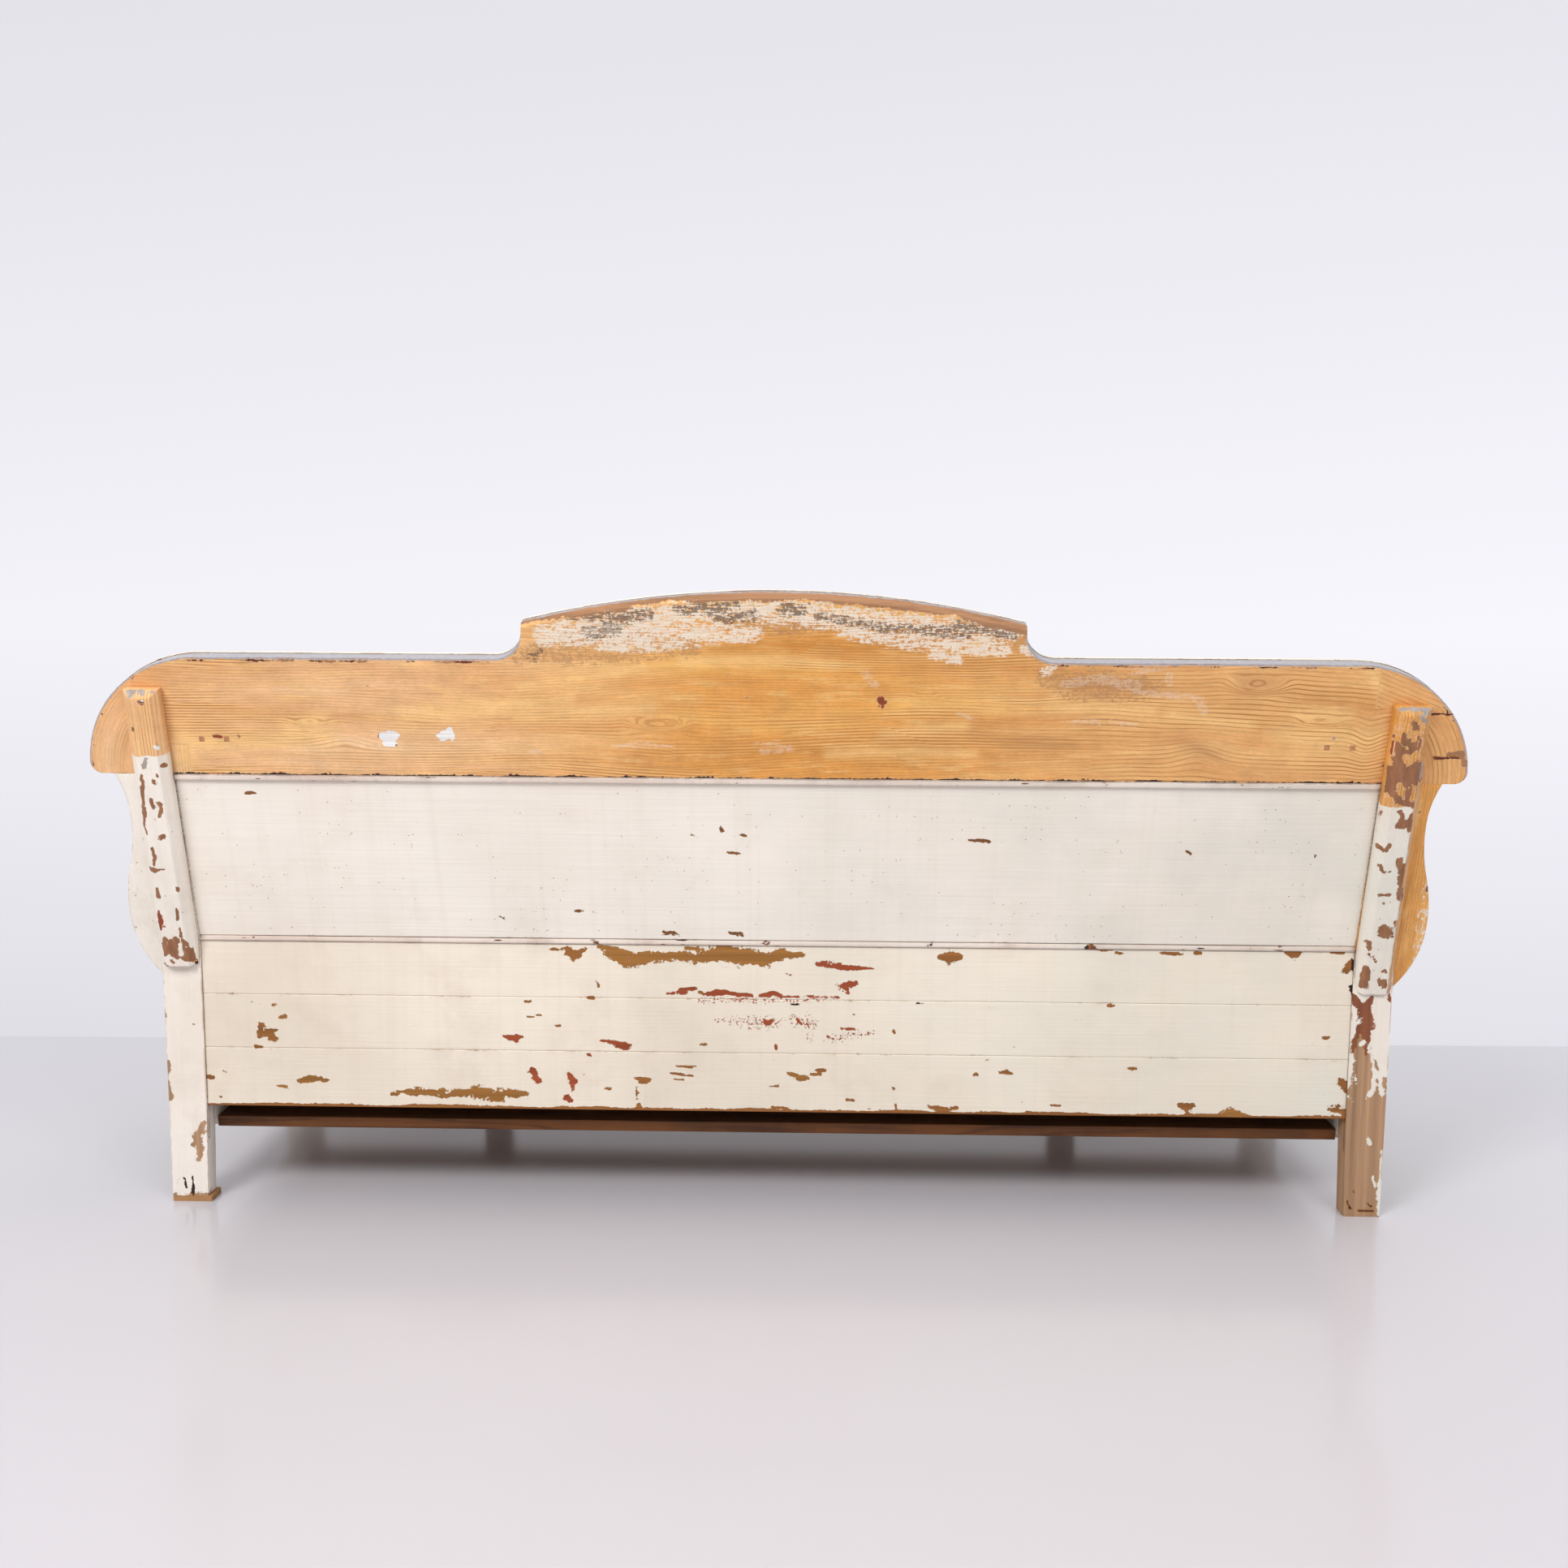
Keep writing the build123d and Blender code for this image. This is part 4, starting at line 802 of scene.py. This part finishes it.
# the two beads: long thin chips where they were knocked, darkest where the damp got in
beads = {"material": beadPaint, "slot": "cream_paint", "arris": 0.0006, "waves": 0, "rear": leanNormal,
         "grid": [((1, 0, 0), 0.005)], "whole": {"topBead": 0.5, "middleBead": 0.0}}
for node, name in (("back_top_bead", "topBead"), ("back_middle_bead", "middleBead")):
    piece, places = dressBoard(node, name, beads)
    x = places[:, 0]
    knocks = np.sin(x * 47 + 1) + np.sin(x * 113 + 2 * np.sin(x * 9)) + np.sin(x * 23)
    writeField(piece, "flake", np.clip((knocks - beads["whole"][name] - 1.2) / 2.2, 0, 0.58))
    writeField(piece, "layer", np.where(np.sin(x * 31) > -0.2, layerCode["wood"], layerCode["dark"]))

legPaint = makeOldPaint("cream oil paint on the legs", dict(
    creamPaint, run="Z", light="#f9f0e6", dark="#f0e4d8", wood="#b18b6a", ochre="#b08652", red="#8c5338", rub=0.6,
    specks=0.05, speckRun=(60, 60, 34)))
rearLegs = {
    "material": legPaint, "slot": "cream_paint", "arris": 0.0018, "waves": 0.0005, "rear": (0, 1, 0),
    "grid": [((1, 0, 0), 0.003), ((0, 0, 1), 0.004)],
    "rightStrokes": {
        "wood": [
            [(982, 236, 3), (982, 218, 3.2)], [(984, 201, 3.5), (982, 177, 4)],
            [(927, 134, 3.2), (935, 125, 5.4), (939, 107, 5.4), (935, 90, 4.6), (938, 71, 3.3)], [(949, 96, 2)],
            [(938, 300, 1.7)], [(984, 312, 2.7)], [(982, 8, 4.1), (969, 3, 4.1), (942, 6, 5.5), (919, 9, 4.1)],
            [(918, 159, 2), (918, 132, 2.4), (920, 111, 1.9)]],
        "dark": [
            [(950, 42, 1.8), (950, 25, 2), (950, 3, 2.2)], [(964, 39, 1.8), (962, 24, 2.5)]]},
    "leftStrokes": {
        "wood": [
            [(-923, 365, 5.2), (-934, 350, 6.5)],
            [(-952, 363, 3.9), (-940, 343, 7.8), (-946, 321, 9.1), (-938, 290, 10.5), (-944, 263, 11.8)],
            [(-944, 263, 11.8), (-950, 230, 15.8), (-937, 203, 18.5), (-961, 190, 18.5)],
            [(-962, 183, 21.1), (-939, 169, 18.5), (-951, 135, 26.5), (-956, 95, 26.6), (-945, 54, 24),
             (-947, 13, 24.1)], [(-980, 369, 2.6), (-980, 361, 3.1)], [(-962, 263, 2.6), (-966, 250, 2.6)],
            [(-980, 230, 3.9), (-981, 210, 4)]],
        "keep": [
            [(-938, 288, 3.9), (-943, 291, 3.9)], [(-962, 246, 2.6), (-963, 230, 3.9), (-963, 212, 3.4)],
            [(-973, 237, 3.4), (-976, 206, 4)], [(-960, 208, 4), (-953, 200, 2.6)],
            [(-959, 131, 2.7), (-962, 123, 3.4)], [(-984, 109, 4), (-983, 82, 3.5), (-982, 41, 5.3), (-986, 5, 4)],
            [(-970, 68, 2.1), (-974, 51, 2.4)], [(-927, 336, 3.9), (-926, 307, 3.9)]],
        "dark": [
            [(-931, 26, 2.1), (-937, 13, 4), (-955, 9, 4), (-971, 10, 2.7)], [(-939, 51, 1.6), (-943, 29, 2.1)],
            [(-962, 24, 2.1), (-971, 16, 2.1)]]}}
for side in ("Right", "Left"):
    strokes = rearLegs[side.lower() + "Strokes"]
    piece, places = dressBoard("rear_leg_" + side.lower(), "rearLeg" + side, rearLegs)
    x, y, z = places.T
    depth = benchLines["backY"] - y
    kept = strokeField(x, z, strokes, ("keep",))[0]
    flake, layer = strokeField(x, z, strokes, ("wood", "dark", "ochre"))
    if side == "Left":      # this leg stood in the damp: nearly all its paint is gone below the boards
        flake = np.maximum(flake, np.clip(0.5 + (0.215 - z) / 0.08, 0, 0.9))
        layer = np.where((z + 0.02 * np.sin(x * 310) > 0.285) & (layer == 0), layerCode["red"], layer)
    foot = np.clip(0.5 + (0.012 - z) / 0.02, 0, 0.9)
    flake = np.maximum(flake, foot)
    flake = np.where(kept > 0.02, np.minimum(flake, 1 - kept), flake)
    rearSide = np.clip((0.012 - depth) / 0.004, 0.35, 1) if side == "Right" else 1.0
    writeWear(piece, flake * rearSide, layer)

stays = {
    "material": stayPaint, "slot": "grained_paint", "arris": 0.0012, "waves": 0.0004, "rear": leanNormal,
    "combedTo": {"Right": 0.322, "Left": 0.260}, "scuff": {"Right": 0.20, "Left": 0.30},
    "scrape": {"Right": 0.12, "Left": 0.30}, "palerAndLit": {"Right": 0.8, "Left": 0.0},
    "grid": [((1, 0, 0), 0.003), (leanUp, 0.004)],
    "rightStrokes": {
        "wood": [
            [(958, 292, 2.6), (960, 272, 3.4), (962, 252, 2.6), (964, 232, 3.9), (970, 207, 2.6), (966, 194, 2.1)],
            [(940, 283, 2.8), (938, 278, 2.8)], [(934, 295, 2.1), (934, 289, 2.1)],
            [(949, 252, 2.6), (949, 237, 3.1)], [(939, 245, 4.4), (937, 233, 4.7), (942, 224, 2.6)],
            [(948, 188, 3.4), (941, 190, 3.7)], [(961, 170, 2.4), (960, 157, 2.9), (963, 141, 1.7)],
            [(969, 32, 1.4), (963, 34, 1.4)], [(965, 102, 1.8), (964, 86, 2.4)], [(939, 64, 2.2), (941, 44, 1.9)],
            [(940, 31, 1.9), (940, 17, 2.8)], [(966, 13, 3.3), (969, -1, 4.7), (970, -16, 3.6)],
            [(960, 6, 3.3), (956, -4, 5.5), (957, -16, 6.4), (952, -21, 4.2)], [(950, 12, 3.3), (948, 8, 2.8)],
            [(939, 8, 3.3), (936, -7, 5.5), (933, -18, 6.4), (930, -27, 4.7)], [(940, -24, 3.3), (925, -31, 2.8)],
            [(962, -26, 3.3), (959, -29, 2.8)], [(976, -36, 2), (968, -38, 1.4)], [(944, 409, 2.2), (938, 406, 2.2)],
            [(959, 368, 1.5), (959, 364, 1.5)], [(917, 332, 1.5), (917, 323, 1.8)],
            [(926, 307, 2.6), (918, 304, 2.6)], [(972, 133, 3.2), (964, 132, 4), (954, 134, 2.1), (947, 135, 1.3)]],
        "red": [
            [(968, 62, 2.7), (970, 46, 4.1), (972, 28, 2.5)]],
        "grey": [
            [(955, 424, 6.2), (934, 427, 6.2), (915, 429, 5)], [(953, 304, 3.1), (948, 317, 2.6)]],
        "white": [
            [(941, 410, 1.5), (936, 410, 1.5)], [(930, 338, 2.5), (927, 334, 2)]],
        "dark": [
            [(917, -33, 2.2), (928, -36, 2)]]},
    "leftStrokes": {
        "wood": [
            [(-941, 391, 3.7), (-948, 385, 4.4), (-944, 381, 3.7)], [(-916, 383, 2), (-919, 376, 2)],
            [(-931, 372, 4.2), (-933, 359, 4.9), (-942, 359, 5.7), (-950, 351, 4.9)],
            [(-950, 376, 2.5), (-956, 364, 2.5), (-956, 352, 2.5)], [(-932, 344, 6.2), (-932, 328, 7.5)],
            [(-930, 318, 10), (-947, 318, 10), (-961, 318, 8.7)],
            [(-925, 305, 7.5), (-941, 305, 11.3), (-959, 302, 10)], [(-922, 292, 6.3), (-929, 279, 6.3)],
            [(-950, 281, 5), (-953, 266, 5.1), (-961, 261, 4.3)], [(-937, 271, 5), (-948, 263, 5.1)],
            [(-945, 250, 3.8), (-951, 234, 3.8), (-964, 223, 5.1), (-965, 242, 3.8)],
            [(-944, 229, 5.1), (-952, 226, 3.8)], [(-918, 247, 2.5), (-918, 239, 2)],
            [(-920, 189, 3.4), (-931, 185, 3.1), (-938, 194, 2.6)],
            [(-956, 169, 5.2), (-965, 151, 6.5), (-964, 134, 5.9)], [(-966, 125, 5.2), (-967, 106, 3.9)],
            [(-928, 158, 3.9), (-934, 148, 3.1), (-944, 149, 2.1)], [(-934, 110, 2.4), (-950, 110, 2.1)],
            [(-943, 96, 2.1)], [(-954, 98, 1.6)], [(-949, 47, 7.3), (-958, 43, 8), (-966, 38, 2.7)],
            [(-930, 27, 3.5), (-933, 15, 3.2)], [(-934, 6, 1.8), (-942, 1, 1.6), (-948, -8, 1.6)],
            [(-934, -17, 3), (-935, -34, 6.3), (-935, -46, 6.3)], [(-962, -22, 3), (-966, -26, 2.4)],
            [(-955, -37, 2.5), (-959, -47, 2.7), (-965, -45, 1.9)], [(-967, -42, 4.1), (-967, -51, 3.3)],
            [(-924, 356, 4.9), (-936, 341, 6.2), (-944, 346, 4.9)],
            [(-921, 315, 7.5), (-936, 321, 8.7), (-954, 316, 8.7)], [(-926, 296, 8.8), (-945, 297, 10)],
            [(-958, 276, 5), (-955, 263, 3.8)]],
        "red": [
            [(-919, 368, 2.2), (-920, 351, 3), (-919, 341, 2.5)]],
        "keep": [
            [(-940, 377, 3.7), (-945, 369, 4.9), (-946, 362, 3)], [(-941, 336, 5), (-949, 331, 5)],
            [(-935, 292, 3.8), (-942, 284, 3.8), (-940, 279, 3)], [(-960, 289, 3.8), (-962, 276, 5), (-958, 268, 3)]],
        "grey": [
            [(-916, 416, 6.1), (-942, 412, 6.1), (-965, 409, 6.1)], [(-952, 400, 2.9), (-961, 392, 2.9)],
            [(-965, 323, 5), (-969, 305, 6.3), (-970, 295, 5)], [(-967, 120, 5.2), (-973, 101, 5.3)],
            [(-965, 321, 4.2), (-970, 300, 5), (-970, 279, 4.3)]]}}
for side in ("Right", "Left"):
    strokes = stays[side.lower() + "Strokes"]
    piece, places = dressBoard("back_stay_" + side.lower(), "stay" + side, stays)
    up, depth = alongLean(places)
    x = places[:, 0]
    kept = strokeField(x, up, strokes, ("keep",))[0]
    flake, layer = strokeField(x, up, strokes, ("wood", "ochre", "red", "dark", "grey", "white"))
    flake = np.where(kept > 0.02, np.minimum(flake, 1 - kept), flake)
    if side == "Left":       # its outer chamfer is rubbed down to the pine
        chamferLine = 0.9735 - 0.0255 * (up + 0.066)
        chamfer = np.clip(0.5 + (np.abs(x) - chamferLine) / 0.006, 0, 0.9) * (up < 0.30)
        layer = np.where((chamfer > flake) | ((chamfer > 0.45) & (layer == 0)), layerCode["ochre"], layer)
        flake = np.maximum(flake, chamfer)
    rearSide = np.clip((-0.010 - depth) / 0.005, 0, 1)
    writeWear(piece, flake * rearSide, layer)
    combed = (up - stays["combedTo"][side]) / 0.03
    writeField(piece, "combed", np.clip(0.5 + combed, 0, 1))
    writeRun(piece, "combRun", up, x)
    writeRun(piece, "combTurned", up, x)
    writeField(piece, "coarse", np.full(len(x), 0.12))
    writeField(piece, "scuff", np.clip((up - 0.20) / 0.05, 0, 1) * stays["scuff"][side] * rearSide)
    writeField(piece, "scrape", np.clip(combed, 0, 1) * stays["scrape"][side] * rearSide)
    # painted light on the +X stay: it takes the pinker, lighter ground of the crest's +X end
    writeRun(piece, "endTintsAndLight", np.full(len(x), stays["palerAndLit"][side]), np.zeros(len(x)))

crest = {
    "material": crestPaint, "slot": "grained_paint", "arris": 0.0012, "waves": 0.0005, "rear": leanNormal,
    "grid": [((1, 0, 0), 0.0055), (leanUp, 0.005)],
    "crownRise": 0.572, "crownRadius": 1.519, "crownHalf": 0.371, "coveMiddle": (0.416, 0.517), "coveRadius": 0.045,
    "shoulderRise": 0.472, "earMiddle": (0.857, 0.282), "earRadius": 0.190, "footRise": 0.285,
    "strokes": {
        "red": [
            [(-159, 412, 5), (-162, 406, 5.7)], [(848, 346, 2.6), (839, 347, 3.3)]],
        "dark": [
            [(-993, 327, 1), (-1013, 326, 1.5), (-1032, 325, 2), (-1045, 324, 1.5)],
            [(-974, 397, 0.9), (-1010, 396, 1.1)], [(197, 407, 1.5)]],
        "wood": [
            [(-1014, 333, 3.8), (-1030, 336, 3.8), (-1040, 317, 3.8)], [(90, 277, 1.3)], [(809, 345, 2.8)]],
        "grey": [
            [(-838, 356, 3.2)]],
        "white": [
            [(593, 350, 3.8), (578, 350, 6.4), (571, 351, 4.3)], [(587, 339, 5.1), (577, 340, 5.1)],
            [(500, 352, 5.8), (489, 359, 4.3), (487, 347, 3.8)], [(510, 350, 2), (505, 354, 3)]]},
    "cream": [
        [(339, 510, 11), (301, 519, 10.9), (253, 525, 10.9), (193, 535, 14.5), (133, 541, 15.7), (62, 546, 14.4),
         (-9, 548, 15.6), (-68, 542, 15.6), (-127, 535, 14.4), (-198, 526, 14.4), (-270, 518, 15.7),
         (-347, 514, 10.8)],
        [(340, 500, 7.3), (314, 502, 7.3), (278, 505, 9.7), (217, 513, 12.1), (158, 513, 10.9), (98, 511, 10.9),
         (27, 514, 9.7)],
        [(-104, 518, 8.5), (-163, 508, 9.7), (-223, 501, 9.7), (-282, 494, 9.7), (-342, 492, 7.3)],
        [(254, 492, 6.1), (182, 493, 7.3), (110, 499, 6.1)], [(-235, 484, 6.1), (-271, 477, 7.3)],
        [(-368, 492, 6.1), (-414, 485, 4.8), (-473, 480, 4.9), (-521, 475, 3.6)],
        [(-401, 458, 6.1), (-415, 470, 4.9)]
    ],
    "soot": [
        [(299, 541, 6), (264, 543, 7.2), (226, 547, 6)], [(247, 525, 7.3), (229, 533, 7.2), (181, 541, 6)],
        [(138, 549, 6), (98, 552, 7.2), (56, 558, 6)], [(86, 541, 6), (62, 534, 4.8), (27, 542, 6)],
        [(-15, 549, 7.2), (-38, 549, 7.2), (-50, 554, 4.8)],
        [(-66, 542, 4.8), (-92, 536, 4.8), (-127, 530, 4.8), (-157, 525, 6), (-187, 521, 4.8)],
        [(-186, 524, 4.8), (-234, 520, 6), (-281, 516, 6)], [(-269, 527, 6), (-311, 523, 7.2), (-352, 514, 6)],
        [(357, 472, 4.9), (344, 487, 3.7)], [(272, 513, 7.3), (229, 518, 6.1)]
    ],
    "scrape": [
        [(375, 477, 9.8), (326, 488, 12.2), (303, 473, 9.8)],
        [(302, 500, 14.6), (266, 494, 19.5), (218, 494, 19.5), (170, 495, 14.6), (122, 491, 11)],
        [(279, 480, 12.3), (207, 481, 11)], [(62, 529, 10.9), (-9, 527, 12.1), (-68, 525, 10.9)],
        [(-365, 505, 9.7), (-384, 486, 7.3), (-414, 478, 7.3), (-474, 473, 6.1)],
        [(-404, 445, 12.3), (-453, 436, 17.2), (-513, 434, 17.2), (-560, 436, 12.3)]
    ],
    "scuff": [
        [(-134, 455, 3.7), (-142, 445, 4.9), (-151, 437, 3.7)], [(301, 515, 4.9), (229, 519, 6.1), (158, 523, 6)],
        [(-431, 441, 4.9), (-476, 446, 6.1), (-536, 439, 6.1)], [(-534, 459, 3.7), (-572, 467, 4.9)],
        [(-583, 454, 3.7), (-586, 442, 3.7)], [(-531, 429, 2.9), (-586, 423, 3.7), (-634, 417, 3.7)],
        [(-632, 412, 4.9), (-641, 399, 3.7)], [(-433, 381, 2), (-493, 380, 2.7), (-542, 377, 2)],
        [(370, 326, 2.6), (353, 328, 2.5)], [(243, 335, 1.8), (200, 339, 3.8), (151, 335, 2)],
        [(16, 329, 3.8), (-27, 335, 3.8)], [(28, 340, 2), (-9, 345, 2)], [(-275, 391, 2.5), (-294, 386, 2.5)],
        [(-366, 492, 4.8), (-414, 478, 4.9), (-462, 476, 3.6)], [(-786, 354, 1.7), (-800, 355, 2)]
    ],
    "golden": [
        [(886, 336, 15.4), (804, 341, 12.8), (680, 347, 12.7)], [(739, 364, 8.9), (682, 377, 10.1)],
        [(553, 379, 12.6), (479, 390, 15.1), (380, 399, 15), (306, 412, 10)],
        [(382, 379, 8.8), (308, 389, 10), (185, 398, 8.8)], [(378, 429, 6.2), (281, 443, 7.4), (195, 461, 6.1)],
        [(135, 471, 7.4), (-9, 475, 7.3), (-93, 466, 6.1)], [(-83, 325, 6.3), (-205, 331, 7.6), (-303, 327, 6.3)],
        [(-167, 358, 7.5), (-288, 372, 7.5)], [(-419, 405, 8.7), (-491, 403, 9.9), (-564, 399, 8.7)],
        [(-589, 394, 7.4), (-638, 384, 9.9), (-711, 378, 8.7)],
        [(-761, 363, 15), (-835, 351, 17.5), (-905, 364, 17.4)], [(-780, 395, 9.9), (-853, 389, 9.9)],
        [(-429, 430, 6.1), (-407, 405, 6.2)], [(-879, 459, 7.3), (-894, 434, 7.3)],
        [(898, 310, 18.1), (894, 356, 12.8)]
    ],
    "dusky": [
        [(-441, 437, 12.3), (-489, 436, 17.2), (-536, 441, 12.3)],
        [(-610, 358, 11.3), (-643, 336, 17.6), (-668, 323, 12.6)], [(-697, 443, 12.2), (-733, 443, 12.2)],
        [(788, 459, 9.9), (729, 450, 9.9)], [(-301, 366, 10), (-374, 351, 12.6), (-448, 341, 10.1)]
    ],
    # in metres: place along and up the board, half width and height, and how far it pushes the lines
    "swellings": [
        (-0.715, 0.443, 0.05, 0.026, 0.01), (-0.64, 0.33, 0.036, 0.03, 0.013),
        (0.172, 0.369, 0.045, 0.016, 0.012), (0.65, 0.341, 0.04, 0.012, 0.01), (0.05, 0.42, 0.3, 0.06, 0.016),
        (-0.5, 0.395, 0.1, 0.03, 0.01), (-0.889, 0.35, 0.02, 0.05, -0.012)],
    # in metres: place along and up the board, half width and height
    "knots": [
        (-0.715, 0.443, 0.042, 0.017), (-0.815, 0.386, 0.034, 0.01), (0.172, 0.372, 0.04, 0.011),
        (0.7, 0.372, 0.03, 0.009)]}
piece, places = dressBoard("crest_board", "crestBoard", crest)
x = places[:, 0]
up, depth = alongLean(places)
flake, layer = strokeField(x, up, crest["strokes"])
# the crown's rear arris is rubbed down to the wood
outward = np.abs(x)
crownTop = crest["crownRise"] - crest["crownRadius"] + np.sqrt(np.maximum(crest["crownRadius"] ** 2 - x ** 2, 0))
rubbed = 0.0080 - 0.0085 * x + 0.002 * np.sin(x * 31)
rubbed = np.clip(0.5 + (rubbed - (crownTop - up)) / 0.012, 0, 0.98) * (outward < crest["crownHalf"] + 0.0005)
flake, layer = chip(flake, layer, rubbed, layerCode["wood"])
# flecks along the shoulders and ears, and a painted shadow at the foot: a dark broken line
coveX, coveUp = crest["coveMiddle"]
earX, earUp = crest["earMiddle"]
ringed = np.hypot(outward - earX, up - earUp)
inCove = np.hypot(outward - coveX, up - coveUp) - crest["coveRadius"]
cove = np.where(outward < coveX, inCove, crest["shoulderRise"] - up)
shoulder = outward > crest["crownHalf"]
gap = np.where(outward < earX, cove, crest["earRadius"] - ringed)
gap = np.where(outward < crest["crownHalf"], crownTop - up, gap)
fleck = np.clip(0.56 - np.abs(gap - 0.0046) / 0.005, 0, 0.56) * shoulder
fleckCode = np.where(np.sin(x * 83 + 2 * np.sin(x * 29)) > 0, layerCode["dark"], layerCode["wood"])
flake, layer = chip(flake, layer, fleck, fleckCode)
footShadowLine = np.clip(0.72 - (up - crest["footRise"]) / 0.006, 0, 0.72) * (outward < 0.93)
flake, layer = chip(flake, layer, footShadowLine, layerCode["dark"])
rearSide = np.clip((0.010 - depth) / 0.003, 0, 1)
lines = up.copy()
for (placeX, placeUp, wide, tall, push) in crest["swellings"]:
    lines -= push * np.exp(-((x - placeX) / wide) ** 2 - ((up - placeUp) / tall) ** 2)
for (placeX, placeUp, wide, tall) in crest["knots"]:
    reach = np.hypot((x - placeX) * tall / wide, up - placeUp)
    share = np.exp(-(reach / tall) ** 4)
    lines = lines * (1 - share) + (placeUp + reach) * share
lines += 0.004 * np.sin(x * 5.3 + 0.7) + 0.0022 * np.sin(x * 14.0 + up * 20)
# the comb was turned round the ears, slanted at one corner and drawn up and down in one patch
slanting = x * math.sin(0.38) - up * math.cos(0.38)
onCorner = (x < -0.890) & (up > 0.405)
inPatch = (x > 0.893) & (x < 0.918) & (up < 0.335)
onEar = ((x < -0.968) | (x > 0.962)) & ~onCorner
# the front moulding's grey paint runs over the upper arris
rimWide = np.where(shoulder, np.where(outward > earX, 0.0042, 0.0062), 0.0034)
writeField(piece, "rim", np.clip(1 - gap / rimWide, 0, 1))
writeWear(piece, flake * rearSide, layer)
writeField(piece, "combed", np.ones(len(x)))
writeRun(piece, "combRun", x, lines)
writeRun(piece, "combTurned", np.where(onCorner, x, up), np.where(onCorner, slanting, np.where(inPatch, x, ringed)))
writeField(piece, "turnMask", (onCorner | inPatch | onEar).astype(float))
writeField(piece, "coarse", np.clip((-0.30 - x) / 0.25, 0, 1))
for film, key in (("creamLeft", "cream"), ("soot", "soot"), ("scrape", "scrape"), ("scuff", "scuff")):
    writeField(piece, film, filmField(x, up, crest[key]) * rearSide)
for tint, strength in (("golden", 0.75), ("dusky", 0.42)):
    writeField(piece, tint, filmField(x, up, crest[tint]) ** 1.4 * strength)
# pinker and lighter towards +X, a pink tint with painted light, and duller towards -X
writeRun(piece, "endTintsAndLight", np.clip((x - 0.10) / 0.45, 0, 1), np.clip((-0.15 - x) / 0.40, 0, 1))
print("painted back dressed")

armBoards = {"material": stayPaint, "slot": "cream_paint", "arris": 0.0012, "waves": 0, "rear": leanNormal,
             "grid": [((1, 0, 0), 0.006), (leanUp, 0.008)],
             "combed": {"Right": 0.0, "Left": 1.0}, "cream": {"Right": 0.0, "Left": 0.42}}
for side in ("Right", "Left"):
    piece, places = dressBoard("arm_back_board_" + side.lower(), "armBoard" + side, armBoards)
    up, depth = alongLean(places)
    x = places[:, 0]
    writeField(piece, "combed", np.full(len(x), armBoards["combed"][side]))
    writeRun(piece, "combRun", up, x)
    writeRun(piece, "combTurned", up, x)
    writeField(piece, "creamLeft", np.clip((np.abs(x) - 0.995) / 0.05, 0, armBoards["cream"][side]))
    writeField(piece, "flake", np.clip((np.abs(x) - 0.984) / 0.2, 0, 0.2))


# finishes of the parts that keep their own solids

def bothSides(*names):
    return [name + side for name in names for side in ("_left", "_right")]


def numbered(name, count):
    return [name + "_" + str(i + 1) for i in range(count)]


finishes = [
    (creamFor["X"], ["crest_moulding", "seat_strip", "lid_rear_board", "lid_front_board", "pull_bottom_rail",
                     "pull_top_rail"]),
    (creamFor["Y"], bothSides("arm_panel", "arm_cap", "side_rail", "end_panel", "end_rail")),
    (creamFor["Z"], bothSides("front_post", "pull_leg") + numbered("pull_stile", 5) + numbered("pull_panel", 4)),
    (pineFor["X"], ["foot_packing", "slat_stops", "slat_bearer"]),
    (pineFor["Y"], bothSides("seat_ledger", "pull_side") + ["lid_cleats", "fixed_slats", "moving_slats"]),
    (pineFor["Z"], ["pull_pegs"]),
    (smokedPine, ["back_rail", "rear_slat_rail", "front_slat_rail"]),
    (forgedIron, ["hinge_leaves_fixed", "hinge_leaves_moving", "hinge_pins"]),
    (nailLook, ["crest_nails"])]
finishOf = {node: finish for finish, group in finishes for node in group}
# width of the worn arris: that of the pine boards, and of the small pieces
boardArris = 0.0014
softArris = {"crest_nails": 0.0003, "hinge_leaves_fixed": 0.0003, "hinge_leaves_moving": 0.0003,
             "hinge_pins": 0.0002, "pull_pegs": 0.0004, "crest_moulding": 0.0006}
for node, finish in finishOf.items():
    piece = nodes[node]
    setMaterial(piece, finish)
    weld = piece.modifiers.new("weld", "WELD")
    weld.merge_threshold = weldReach
    arris = piece.modifiers.new("arris", "BEVEL")
    arris.width = softArris.get(node, boardArris)
    arris.segments = arrisSteps
    arris.limit_method = "ANGLE"
    arris.angle_limit = arrisAngle
    even = piece.modifiers.new("even", "WEIGHTED_NORMAL")
    even.keep_sharp = False
missing = [n for n, o in nodes.items() if not o.hide_render and n not in finishOf]
print("finishes given; without one:", missing)
